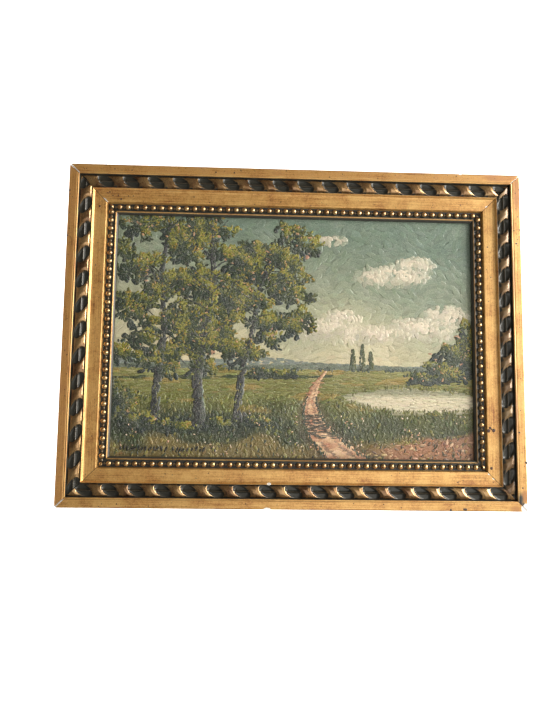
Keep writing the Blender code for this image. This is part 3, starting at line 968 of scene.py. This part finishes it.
laneLook = {"foot": -115, "rise": 82, "bend": (52, -118, 96), "width": (34, 1.2), "taper": 1.35}
pondLook = {"middle": (118, -60), "half": (66, 11.5), "tilt": 0.02}
chance = np.random.default_rng(pictureLook["seed"])


# a draw for each of a list or for a count: even between two values, or bell-shaped round a middle
def even(low, high, each):
    return chance.uniform(low, high, each if isinstance(each, int) else len(each))


def bell(middle, spread, each):
    return chance.normal(middle, spread, each if isinstance(each, int) else len(each))


def kept(keep, *lists):
    return (values[keep] for values in lists)


def mixPaint(first, second, share):
    first, second = (np.asarray(paints[value] if isinstance(value, str) else value, float)
                     for value in (first, second))
    share = np.clip(np.asarray(share, float), 0, 1)[..., None]
    return first * (1 - share) + second * share


# slow waves over the picture, about -1 to 1
def ripple(x, z, size, seed):
    dice = np.random.default_rng(seed)
    total = np.zeros_like(np.asarray(x, float))
    for _ in range(7):
        angle, phase = dice.uniform(0, 2 * math.pi, 2)
        wave = size * dice.uniform(0.6, 1.7)
        total += np.sin((x * math.cos(angle) + z * math.sin(angle)) * 2 * math.pi / wave + phase)
    return total / 3.4


def skyPaint(x, z):
    rise = (z - pictureLook["horizon"]) / (pictureLook["sight"][1] - pictureLook["horizon"])
    rise = rise + 0.10 * ripple(x, z, 110, 3) + 0.0009 * x
    low = mixPaint("skyLow", "skyMiddle", rise / 0.45)
    return mixPaint(low, "skyHigh", (rise - 0.42) / 0.50)


def laneRise(z):
    return np.clip((z - laneLook["foot"]) / laneLook["rise"], 0, 1)


def laneMiddle(z):
    start, slope, curve = laneLook["bend"]
    return start + slope * laneRise(z) + curve * laneRise(z) ** 2


def laneWidth(z):
    near, far = laneLook["width"]
    return near * (1 - laneRise(z)) ** laneLook["taper"] + far


# 1 on the pond's shore
def pondReach(x, z):
    offX, offZ = x - pondLook["middle"][0], z - pondLook["middle"][1]
    halfX, halfZ = pondLook["half"]
    reach = np.hypot(offX / halfX, (offZ + pondLook["tilt"] * offX) / halfZ)
    return reach + 0.10 * ripple(x, z * 4, 30, 9)


def onMeadow(x, z, fromLane, fromPond):
    return (np.abs(x - laneMiddle(z)) > laneWidth(z) * fromLane) & (pondReach(x, z) > fromPond)


def landPaint(x, z):
    depth = np.clip((pictureLook["horizon"] - z) / 84, 0, 1)
    colour = mixPaint("fieldFar", "fieldMiddle", depth / 0.38)
    colour = mixPaint(colour, "fieldDark", (depth - 0.30) / 0.55 + 0.25 * ripple(x, z * 2.5, 46, 4))
    colour = mixPaint(colour, "ochre", 0.55 * (ripple(x, z * 4, 52, 6) > 0.55) * (depth < 0.5))
    colour = mixPaint(colour, "ochre", np.clip((-96 - z) / 12 + 0.6 * ripple(x, z * 3, 60, 17), 0, 0.62))
    shadow = np.hypot((x + 92) / 92, (z + 84) / 11) + 0.14 * ripple(x, z * 3, 34, 8)
    colour = mixPaint(colour, "leafShade", 0.85 * np.clip(1.5 - 1.2 * shadow, 0, 1))
    bank = (z + 96 - 0.10 * (x - 110)) / -7 + 0.5 * ripple(x, z * 3, 40, 14)
    colour = mixPaint(colour, "earth", np.clip(bank, 0, 0.85) * np.clip((x - 62) / 30, 0, 1))
    hedge = np.abs(z + 38.5 - 0.015 * x) < 1.3 + 0.7 * ripple(x, 0 * x, 24, 16)
    colour = mixPaint(colour, "leafDark", 0.8 * hedge * (x < 34))
    beside = np.abs(x - laneMiddle(z)) / laneWidth(z)
    colour = mixPaint(colour, "earthShade", np.clip(1.15 - beside, 0, 0.6) * (z < -36))
    colour = mixPaint(colour, "earth", (beside < 0.52) * (z < -34) * 0.9)
    return mixPaint(colour, "pond", (pondReach(x, z) < 0.98) * 0.9)


def drawn(value, count):
    if isinstance(value, tuple):
        return even(*value, count)
    return np.broadcast_to(np.asarray(value, float), (count,))


class Strokes:
    def __init__(self):
        self.parts = []

    # a pair stands for an even draw between its two values, and spread varies the colour
    def lay(self, x, z, turn, length, width, colour, spread, lift, thick=0.10):
        x, z = np.asarray(x, float), np.asarray(z, float)
        count = len(x)
        turn, length, width = (drawn(value, count) for value in (turn, length, width))
        colour = np.broadcast_to(np.asarray(colour, float), (count, 3))
        if spread:
            light = chance.normal(0, spread, (count, 1))
            colour = np.clip(colour + light + chance.normal(0, spread * 0.35, (count, 3)), 12, 245)
        lift, thick = drawn(lift, count), drawn(thick, count)
        halfX, halfZ = pictureLook["width"] / 2 - 1.5, pictureLook["height"] / 2 - 1.5
        roomX = halfX - np.abs(np.cos(turn)) * length / 2 - width / 2
        roomZ = halfZ - np.abs(np.sin(turn)) * length / 2 - width / 2
        sightX, sightZ = pictureLook["sight"]
        inside = (np.abs(x) < sightX + 2) & (np.abs(z) < sightZ + 1.6)
        x, z = np.clip(x, -roomX, roomX), np.clip(z, -roomZ, roomZ)
        close = np.minimum(sightX + 1 - np.abs(x), sightZ + 1 - np.abs(z))
        calm = np.clip(close / 5, 0, 1)
        lift, thick = lift * (0.4 + 0.6 * calm), thick * (0.6 + 0.4 * calm)
        self.parts.append(np.column_stack([x, z, turn, length, width, lift, thick, colour])[inside])

    def table(self):
        return np.concatenate(self.parts)


def jittered(lowX, highX, lowZ, highZ, stepX, stepZ):
    x, z = np.meshgrid(np.arange(lowX, highX, stepX), np.arange(lowZ, highZ, stepZ))
    x = x + chance.uniform(-0.55, 0.55, x.shape) * stepX
    return x.ravel(), (z + chance.uniform(-0.6, 0.6, z.shape) * stepZ).ravel()


def paintSky(strokes):
    x, z = jittered(-172, 172, pictureLook["horizon"] + 4.5, 116, 7.6, 3.4)
    level = np.clip((z - pictureLook["horizon"]) / 34, 0.06, 1)  # calm strokes over the horizon
    turn = (0.9 * ripple(x, z, 60, 12) + bell(0, 0.5, x)) * level
    strokes.lay(x, z, turn, (10, 18), (4.5, 7.5), skyPaint(x, z), 3.2, (-0.032, -0.016), 0.045)


# x, z, half width, half height
cloudBanks = [(96, 60, 34, 11), (116, 70, 20, 10), (76, 58, 20, 8), (24, 6, 42, 11), (70, 2, 42, 9),
              (120, 8, 40, 12), (146, 21, 24, 11), (44, 17, 20, 9), (34, 94, 16, 4)]


def paintClouds(strokes):
    for middleX, middleZ, reachX, reachZ in cloudBanks:
        for light, share, longest, widest in ((0, 0.30, 11, 6.4), (1, 0.40, 5.6, 3.4)):
            count = int(reachX * reachZ * share)
            far, angle = np.sqrt(even(0, 1, count)), even(0, 2 * math.pi, count)
            x, z = middleX + far * reachX * np.cos(angle), middleZ + far * reachZ * np.sin(angle)
            lit = 0.5 * np.sin(angle) * far + 0.3 * ripple(x, z, 16, 21) + 0.2 * np.cos(angle) * far
            keep = lit > 0.02 if light else far < 2
            x, z, far, angle, lit = kept(keep, x, z, far, angle, lit)
            colour = mixPaint("cloudShade", "cloudLight", 0.30 + 0.9 * lit + 0.25 * light)
            fade = np.clip(far * 1.7 - 0.9, 0, 0.85) * (1 - 0.45 * light)
            colour = mixPaint(colour, skyPaint(x, z), fade)
            length = longest * even(0.6, 1.1, x)
            turn, width = angle + math.pi / 2 + bell(0, 0.8, x), widest * even(0.6, 1.1, x)
            strokes.lay(x, z, turn, length, width, colour, 3.5,
                        (-0.02 + 0.02 * light, 0.02 * light), 0.05 + 0.015 * light)


def paintDistance(strokes):
    horizon = pictureLook["horizon"]
    for row, (paint, tall) in enumerate([("hillFar", 11.0), ("hillNear", 5.5)]):
        x, share = jittered(-172, 172, 0, 1, 4.6, 0.16)
        crest = tall * (0.62 + 0.38 * ripple(x, 0 * x, 130 - 40 * row, 30 + row))
        turn, length, width = bell(-0.05, 0.14, x), even(6, 10, x), even(1.3, 2.1, x)
        colour = mixPaint(paint, "skyMiddle", even(0, 0.3, x))
        strokes.lay(x, horizon + crest * np.clip(share, 0, 1), turn, length, width, colour, 5,
                    0.05 + 0.02 * row, 0.07)
    x = even(-172, 172, 420)
    clump = ripple(x, 0 * x, 46, 33)
    x, clump = kept(clump > -0.25, x, clump)
    z = horizon + even(-1.5, 1, x) + np.clip(clump, 0, 1.4) * even(0, 4.2, x)
    turn, length, width = even(0, 3.1, x), even(1.8, 3.2, x), even(1.2, 2.0, x)
    colour = mixPaint("leafShade", "hillNear", even(0, 0.8, x))
    strokes.lay(x, z, turn, length, width, colour, 6, 0.10, 0.08)


# poplars on the horizon: x, height
poplars = [(56, 19), (65, 24), (73, 17)]


def paintPoplars(strokes):
    horizon, count, halfWidth = pictureLook["horizon"], 85, 3.1
    for middle, tall in poplars:
        z = horizon + even(0, 1, count) ** 0.8 * tall
        width = halfWidth * np.sqrt(np.clip(1.06 - (z - horizon) / tall, 0.02, 1))
        x = middle + even(-1, 1, count) * width
        colour = mixPaint("leafDark", "leafMiddle", 0.4 + 0.7 * (x - middle) / halfWidth)
        strokes.lay(x, z, math.pi / 2 + bell(0, 0.25, x), (2.2, 3.6), (0.9, 1.5), colour, 8,
                    (0.10, 0.15), 0.08)


def paintLand(strokes):
    x, z = jittered(-172, 172, -64, pictureLook["horizon"] + 0.8, 6.2, 1.55)
    x, z = kept(pondReach(x, z) > 0.97, x, z)
    strokes.lay(x, z, bell(0.02, 0.07, x), (6, 12), (1.2, 2.2), landPaint(x, z), 8, (0.02, 0.06), 0.08)
    x, z = jittered(-172, 172, -116, -56, 5.3, 2.9)
    x, z = kept(onMeadow(x, z, 0.5, 1.0), x, z)
    onBank = (x > 60) & (z < -97 + 0.10 * (x - 110))
    upright = np.where(onBank, 0.15, math.pi / 2)
    turn = upright + 0.5 * ripple(x, z, 50, 44) + bell(0.1, 0.45, x)
    light = even(0, 1, x) < 0.16 + 0.16 * ripple(x, z * 2, 38, 45)
    colour = mixPaint(landPaint(x, z), "leafLight", 0.6 * light * even(0.3, 1, x))
    colour = mixPaint(colour, "earthLight", 0.6 * onBank * (even(0, 1, x) < 0.25))
    colour = mixPaint(colour, "earthShade", 0.7 * onBank * (even(0, 1, x) < 0.22))
    strokes.lay(x, z, turn, (2.8, 6.4), (1.3, 2.7), colour, 9, (0.05, 0.10), 0.11)


# upright tufts, taller towards the front, a third of them along the lane
def paintTufts(strokes, count=560):
    near = even(0, 1, count)
    x, z = even(-172, 172, count), -57 - 58 * near
    atLane = even(0, 1, count) < 0.35
    verge = laneMiddle(z) + np.sign(x) * laneWidth(z) * even(0.46, 0.62, count)
    x = np.where(atLane, verge, x)
    x, z, near = kept(onMeadow(x, z, 0.44, 1.05), x, z, near)
    colour = mixPaint("reed", "leafShade", even(0, 1, x))
    turn, length = math.pi / 2 + bell(0, 0.5, x), even(1.5, 3, x) + 2.2 * near
    strokes.lay(x, z, turn, length, (0.7, 1.3), colour, 9, (0.13, 0.18), 0.12)


def paintLane(strokes, count=880, shade=90):
    z = laneLook["foot"] + laneLook["rise"] * even(0, 1, count) ** 1.25
    side = even(-0.5, 0.5, count)
    near = np.clip(1 - laneRise(z), 0.05, 1)
    lit = 0.55 + 0.5 * ripple(side * 40, z * 2.2, 20, 41) + 0.4 * side
    colour = mixPaint("earth", "earthLight", lit)
    colour = mixPaint(colour, "earthShade", (np.abs(np.abs(side) - 0.27) < 0.06) * 0.55)
    strokes.lay(laneMiddle(z) + side * laneWidth(z), z, bell(0.05, 0.20, count), 2 + 7 * near,
                1.0 + 1.7 * near, colour, 6, (0.10, 0.13), 0.07)
    z = even(-96, -74, shade)
    x = laneMiddle(z) + even(-0.55, 0.5, shade) * laneWidth(z)
    strokes.lay(x, z, bell(0.03, 0.08, shade), (5, 9), (1.0, 1.7),
                mixPaint("earthShade", "leafShade", 0.35), 7, 0.16, 0.07)


def paintPond(strokes):
    x, z = jittered(36, 172, -74, -46, 5.4, 1.15)
    x, z = kept(pondReach(x, z) < 1, x, z)
    top = np.clip((z + 57) / 4, 0, 1) * 0.75
    colour = mixPaint("pond", "pondShade", np.maximum(top, np.clip(pondReach(x, z) * 4 - 3.3, 0, 1)))
    strokes.lay(x, z, bell(-0.02, 0.03, x), (6, 12), (1.3, 2.1), colour, 5, (0.06, 0.08), 0.05)


# reeds on the pond's shore, more of them on the near side
def paintReeds(strokes, count=230):
    middleX, middleZ = pondLook["middle"]
    halfX, halfZ = pondLook["half"]
    x = even(54, 171, count)
    side = np.where(even(0, 1, count) < 0.4, 1, -1)
    shore = side * halfZ * np.sqrt(np.clip(1.02 - ((x - middleX) / halfX) ** 2, 0.02, 1))
    z = middleZ - pondLook["tilt"] * (x - middleX) + shore + bell(0, 0.9, count)
    turn, length, width = math.pi / 2 + bell(0, 0.35, x), even(2, 4.5, x), even(0.6, 1.1, x)
    colour = mixPaint("reed", "leafLight", even(0, 0.8, x))
    strokes.lay(x, z + 1, turn, length, width, colour, 9, (0.14, 0.18), 0.10)


# a bent line of short strokes, thick at its start, darker on the side away from the window
def paintLimb(strokes, path, thickness, lift):
    path = np.array(path, float)
    whole = np.concatenate([[0], np.cumsum(np.hypot(*np.diff(path, axis=0).T))])
    middleWidth = (thickness[0] + thickness[1]) / 2
    count = int(whole[-1] * max(middleWidth, 1.2) / 2.6) + 3
    spots = np.sort(even(0, whole[-1], count))

    def at(distance, axis):
        return np.interp(distance, whole, path[:, axis])

    turn = np.arctan2(at(spots + 1, 1) - at(spots - 1, 1), at(spots + 1, 0) - at(spots - 1, 0))
    width = np.interp(spots / whole[-1], [0, 1], thickness)
    across = even(-0.5, 0.5, count) * (width > 1.3)
    x = at(spots, 0) + across * width * np.abs(np.sin(turn))
    z = at(spots, 1) - across * width * np.abs(np.cos(turn)) * 0.5
    lit = np.clip(across * 1.3 + 0.1 + bell(0, 0.18, count), 0, 1)
    strokes.lay(x, z, turn + bell(0, 0.10, count), 2.6 + width * 0.35, 0.7 + width * 0.20,
                mixPaint("barkDark", "barkLight", lit), 7, lift)


# one clump of foliage: a dark mass, then middle tones, then lights towards the window
leafLayers = [
    {"cover": 0.085, "length": (4.6, 8.4), "width": (2.6, 4.4), "from": -9.0, "lift": 0.00, "shift": -0.30},
    {"cover": 0.160, "length": (2.8, 5.0), "width": (1.3, 2.3), "from": -0.45, "lift": 0.06, "shift": 0.02},
    {"cover": 0.210, "length": (1.9, 3.6), "width": (0.9, 1.6), "from": 0.22, "lift": 0.11, "shift": 0.22},
]


def paintCluster(strokes, middleX, middleZ, reachX, reachZ, lift, fullness=1.0):
    for layer in leafLayers:
        count = int(math.pi * reachX * reachZ * layer["cover"] * fullness)
        far = even(0, 1, count) ** 0.55 * (1.0 if layer["lift"] == 0 else 1.12)
        angle = even(0, 2 * math.pi, count)
        rag = 1 + 0.26 * np.sin(angle * 3 + middleX) + 0.15 * np.sin(angle * 7 + middleZ)
        offX, offZ = far * rag * np.cos(angle), far * rag * np.sin(angle)
        x, z = middleX + offX * reachX, middleZ + offZ * reachZ
        lit = 0.42 * offX + 0.58 * offZ + 0.42 * ripple(x, z, 17, 61) + bell(0, 0.15, count)
        x, z, lit, angle = kept(lit > layer["from"], x, z, lit + layer["shift"], angle)
        colour = mixPaint("leafShade", "leafDark", (lit + 0.75) / 0.6)
        colour = mixPaint(colour, "leafMiddle", (lit - 0.02) / 0.40)
        colour = mixPaint(colour, "leafLight", (lit - 0.50) / 0.40)
        colour = mixPaint(colour, "leafGold", (even(0, 1, x) < 0.10) * (lit > 0.2) * 0.8)
        colour = mixPaint(colour, "blossom", (even(0, 1, x) < 0.016) * 0.8)
        base = lift + layer["lift"]
        strokes.lay(x, z, angle + bell(0, 0.8, x), layer["length"], layer["width"], colour, 6,
                    (base, base + 0.03))


ashTrees = [
    {"trunk": [(-135, -82), (-131, -74), (-129, -40), (-124, 5), (-128, 60), (-120, 116)],
     "width": (8.0, 2.6), "first": 0.46, "reach": 44},
    {"trunk": [(-92, -87), (-89, -78), (-92, -44), (-86, 0), (-78, 52), (-82, 116)],
     "width": (10.5, 3.0), "first": 0.42, "reach": 46},
    {"trunk": [(-52, -80), (-54, -72), (-50, -38), (-40, 6), (-34, 46), (-20, 84)],
     "width": (7.5, 2.0), "first": 0.46, "reach": 40},
]


def alongTrunk(tree, share):
    trunk = np.array(tree["trunk"], float)
    place = share * (len(trunk) - 1)
    return (np.interp(place, np.arange(len(trunk)), trunk[:, axis]) for axis in (0, 1))


def paintAshes(limbs, crowns):
    for tree, crown in zip(ashTrees, crowns):
        clusters = []
        for branch, share in enumerate(np.linspace(tree["first"], 1.0, 8)):
            x, z = alongTrunk(tree, share)
            side = 1 if branch % 2 else -1
            reach = tree["reach"] * (1.15 - 0.6 * share) * chance.uniform(0.75, 1.15)
            tipX, tipZ = x + side * reach, z + reach * chance.uniform(0.1, 0.5)
            bendX, bendZ = x + side * reach * 0.45, z + reach * chance.uniform(0.28, 0.5)
            paintLimb(limbs, [(x, z), (bendX, bendZ), (tipX, tipZ)], (3.0 - 1.2 * share, 0.9), 0.12)
            clusters += [(tipX, tipZ, 1.0), (bendX + side * 3, bendZ + 6, 0.85)]
            if branch % 3 == 0:
                clusters.append((x - side * 5, z + 9, 0.8))
        for _ in range(9):
            x, z = alongTrunk(tree, chance.uniform(tree["first"] + 0.08, 1.0))
            clusters.append((x + chance.normal(0, 17), z + chance.normal(4, 7), 0.72))
        for x, z, size in clusters:
            paintCluster(crown, x, z, size * chance.uniform(15, 22), size * chance.uniform(9, 13), 0.09)
        paintLimb(limbs, tree["trunk"], tree["width"], 0.14)
        rootX, rootZ = tree["trunk"][0]
        for spread in (-9, -5, 6, 10):
            paintLimb(limbs, [(rootX + 2 + spread * 0.3, rootZ + 7), (rootX + 2 + spread, rootZ - 1)],
                      (2.6, 1.0), 0.15)
        for _ in range(11):
            x, z = alongTrunk(tree, chance.uniform(0.5, 0.97))
            away = chance.uniform(12, 30) * chance.choice([-1, 1])
            paintLimb(limbs, [(x, z), (x + away * 0.5, z + 7), (x + away, z + chance.uniform(4, 18))],
                      (1.9, 0.9), 0.26)


# bushes: x, z, half width, half height
bushes = [(156, -20, 18, 18), (140, -33, 18, 9), (166, -4, 12, 16), (120, -38, 12, 5), (-162, -62, 15, 15),
          (-146, -82, 16, 7), (-112, -86, 16, 5), (-72, -84, 14, 5), (-38, -80, 12, 4), (-30, -35, 15, 4),
          (-8, -36, 11, 3)]


def paintThicket(leaves):
    for x, z, reachX, reachZ in bushes:
        foot = z - reachZ * 0.92
        if foot < pictureLook["horizon"]:
            count = int(reachX * 2.4)
            spotX, spotZ = x + even(-0.98, 0.98, count) * reachX, foot + bell(0, 1.0, count)
            turn, length, width = bell(0, 0.12, count), even(4, 7, count), even(1.3, 2.3, count)
            colour = mixPaint("leafShade", "fieldDark", even(0, 0.8, count))
            leaves.lay(spotX, spotZ, turn, length, width, colour, 6, 0.11, 0.09)
        paintCluster(leaves, x, z, reachX, reachZ, 0.10, 1.4)


def paintFlowers(strokes, count=330):
    x, z = even(-170, 170, count), -60 - 54 * even(0, 1, count) ** 0.7
    x, z = kept((ripple(x, z * 2, 42, 52) > 0.1) & onMeadow(x, z, 0.55, 1.05), x, z)
    colour = mixPaint("blossom", "cloudLight", even(0, 1, x))
    colour = mixPaint(colour, "leafLight", (even(0, 1, x) < 0.45) * 0.9)
    strokes.lay(x, z, even(0, 3.1, x), (1.2, 2.4), (0.8, 1.3), colour, 8, 0.19)


# a row of short upright strokes, low at the left
markLook = {"start": (-161.0, -107.6), "strokes": 22, "gapAfter": 12}


def paintMark(strokes, look):
    x, z = look["start"]
    for number in range(look["strokes"]):
        tall = chance.uniform(3.0, 6.2)
        strokes.lay([x], [z + chance.normal(0, 0.6)], 1.25 + chance.normal(0, 0.35), tall, 1.8,
                    paints["mark"], 0, 0.32, 0.05)
        x += chance.uniform(2.5, 4.4) + (4 if number == look["gapAfter"] else 0)


layerNames = ("sky", "land", "laneAndPond", "limbs", "leftLeaves", "middleLeaves", "rightLeaves",
              "thickets")
layers = {name: Strokes() for name in layerNames}
paintSky(layers["sky"])
paintClouds(layers["sky"])
for paintPart in (paintDistance, paintPoplars, paintLand, paintTufts):
    paintPart(layers["land"])
for paintPart in (paintPond, paintReeds, paintLane):
    paintPart(layers["laneAndPond"])
paintAshes(layers["limbs"], [layers["leftLeaves"], layers["middleLeaves"], layers["rightLeaves"]])
paintThicket(layers["thickets"])
paintFlowers(layers["limbs"])
paintMark(layers["limbs"], markLook)
print("stage 7: strokes planned,", {name: len(layer.table()) for name, layer in layers.items()})


varnishLook = {
    "grime": (0.035, 0.032, 0.018),
    "bloom": (0.78, 0.74, 0.60),
    "bristleScale": (4.5, 0.7),  # across a stroke, along it
    "speckleScale": 900.0,
    "cloudScale": 45.0,
    "threadScale": 5200.0,
    "roughness": 0.44,
    "coat": 0.18,
    "coatRoughness": 0.30,
    "bumpDepth": 0.00012,
}


def varnishedPaint(name, look, weave, streaks, relief):
    material, wire = newMaterial(name)
    place = wire.place()
    paint = wire.node("ShaderNodeAttribute", {"attribute_name": "paintColour"}, {}, 0)
    grain = wire.node("ShaderNodeAttribute", {"attribute_name": "grain"}, {}, 1)
    across, along, seed = grain.axis(0), grain.axis(2), grain.axis(1)
    bristleAcross, bristleAlong = look["bristleScale"]
    bristle = noise(wire, wire.vector(across * bristleAcross + seed, along * bristleAlong, seed), 1.0, 2.0)
    speckle = noise(wire, place, look["speckleScale"], 3.0, 0.65)
    clouds = noise(wire, place, look["cloudScale"], 3.0)
    weft, warp = (wire.sum("SINE", place.axis(axis) * look["threadScale"]) for axis in (0, 2))
    thread = weft * warp
    darker = (speckle - 0.5) * 0.9 + (bristle - 0.5) * streaks + thread * 0.10 + (clouds - 0.5) * 0.25
    colour = tint(wire, wire.sum("MAXIMUM", darker * 1.5, 0.0), paint, look["grime"])
    colour = tint(wire, wire.sum("MAXIMUM", darker * -1.1, 0.0), colour, look["bloom"])
    roughness = look["roughness"] + (speckle - 0.5) * 0.3
    height = speckle * 0.5 + bristle * 0.6 + thread * weave
    bump = bumped(wire, relief, look["bumpDepth"], height)
    finishSurface(wire, {"Coat Weight": look["coat"], "Coat Roughness": look["coatRoughness"]},
                  {"Base Color": colour, "Roughness": roughness, "Normal": bump})
    return material


def dabTree():
    tree, wire, given = newTree("paintDabs", {"Segments": 6, "Rings": 4, "Material": None})
    dab = ballOf(wire, given["Segments"], given["Rings"], 1.0)
    spot = wire.node("GeometryNodeInputPosition")
    dab = storeValue(wire, dab, "grain", spot, "FLOAT_VECTOR")
    along = spot.axis(2)
    plump = 1 + (1 - along * along) * 0.12  # blunter than an egg
    dab = wire.node("GeometryNodeSetPosition", {}, {
        "Geometry": dab, "Position": wire.node("ShaderNodeVectorMath", {"operation": "SCALE"}, {
            "Vector": spot, "Scale": plump})})
    turn, length, width, thick = (pointValue(wire, part) for part in ("turn", "length", "width", "thick"))
    laid = wire.node("GeometryNodeInstanceOnPoints", {}, {
        "Points": given["Geometry"], "Instance": dab, "Rotation": wire.vector(0.0, math.pi / 2 - turn, 0.0),
        "Scale": wire.vector(width * 0.5, thick, length * 0.5)})
    endTree(wire, laid, given["Material"])
    return tree


def pictureToWorld(x, z, depth):
    return np.column_stack([frameCentre[0] + x * mm, frontPlane + depth * mm, frameCentre[1] + z * mm])


def buildStrokes(name, strokes, tree, material):
    table = strokes.table()
    x, z, turn, length, width, lift, thick = table[:, :7].T
    points = pictureToWorld(x, z, pictureLook["front"] - lift)
    return dabsAtPoints(name, points, tree, {"Segments": 6, "Rings": 4, "Material": material},
                        table[:, 7:10], turn=turn, length=length * mm, width=width * mm, thick=thick * mm)


paintFinish = varnishedPaint("oilStrokes", varnishLook, 0.10, 0.9, 0.6)
skyFinish = varnishedPaint("thinOil", varnishLook, 0.22, 0.30, 0.36)
dabMaker = dabTree()
for layerName, strokes in layers.items():
    finish = skyFinish if layerName == "sky" else paintFinish
    layer = buildStrokes("painting_" + layerName, strokes, dabMaker, finish)
    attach(layer, "root")
    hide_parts("painting")
print("stage 8: strokes laid")


# the board under the strokes: toned front, brown back
boardLook = {**woodLook, "pale": (0.17, 0.095, 0.046), "dark": (0.10, 0.054, 0.026), "roughness": 0.8}


def buildBoard(look):
    halfX, halfZ = look["width"] / 2, look["height"] / 2
    columns, rows = (int(size / look["gridStep"]) for size in (look["width"], look["height"]))
    x, z = np.meshgrid(np.linspace(-halfX, halfX, columns + 1), np.linspace(-halfZ, halfZ, rows + 1))
    index = np.arange(x.size).reshape(x.shape)
    quads = np.stack([index[:-1, :-1], index[:-1, 1:], index[1:, 1:], index[1:, :-1]], -1).reshape(-1, 4)
    rim = np.concatenate([index[0, :-1], index[:-1, -1], index[-1, :0:-1], index[:0:-1, 0]])
    behind = np.arange(len(rim)) + x.size
    sides = np.stack([rim, behind, np.roll(behind, -1), np.roll(rim, -1)], -1)
    faces = quads.tolist() + sides.tolist() + [behind.tolist()]
    depth = np.full(x.size + len(rim), look["front"])
    depth[x.size:] += look["thickness"]
    x, z = (np.concatenate([values.ravel(), values.ravel()[rim]]) for values in (x, z))
    mesh = bpy.data.meshes.new("painting_board")
    mesh.from_pydata(pictureToWorld(x, z, depth).tolist(), [], faces)
    mesh.polygons.foreach_set("material_index", np.array([0] * len(quads) + [1] * (len(rim) + 1), np.int32))
    savePaint(mesh, np.where((z > look["horizon"])[:, None], skyPaint(x, z), landPaint(x, z)) * 0.92)
    saveValues(mesh, along=x * mm, inward=z * mm)
    facesOutward(mesh)
    return addObject("painting_board", mesh, varnishedPaint("oilGround", varnishLook, 0.5, 0.0, 0.6),
                     makeWood("brownBoard", boardLook))


board = buildBoard(pictureLook)
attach(board, "root")
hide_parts("painting")
print("stage 9: board")


# white sweep, well behind and below the frame
sweepLook = {"wall": 1.3, "floor": -1.0, "near": -2.6, "width": 5.0, "top": 2.2, "bend": 0.5,
             "colour": (0.93, 0.93, 0.925), "glow": 0.30}


def addSweep(look):
    path = [(look["near"], look["floor"])]
    for turn in np.linspace(0, math.pi / 2, 13):
        path.append((look["wall"] - look["bend"] * (1 - math.sin(turn)),
                     look["floor"] + look["bend"] * (1 - math.cos(turn))))
    path.append((look["wall"], look["top"]))
    points, faces = [], []
    for y, z in path:
        points += [(-look["width"] / 2, y, z), (look["width"] / 2, y, z)]
    for index in range(len(path) - 1):
        low = 2 * index
        faces.append((low, low + 1, low + 3, low + 2))
    mesh = bpy.data.meshes.new("sweep")
    mesh.from_pydata(points, [], faces)
    mesh.shade_smooth()
    material, wire = newMaterial("paleSweep")
    finishSurface(wire, {"Base Color": (*look["colour"], 1), "Roughness": 0.9,
                         "Emission Color": (1, 1, 1, 1), "Emission Strength": look["glow"]}, {})
    sweep = addObject("sweep", mesh, material)
    sweep.visible_glossy = False  # keeps the steep carved walls from mirroring white


addSweep(sweepLook)
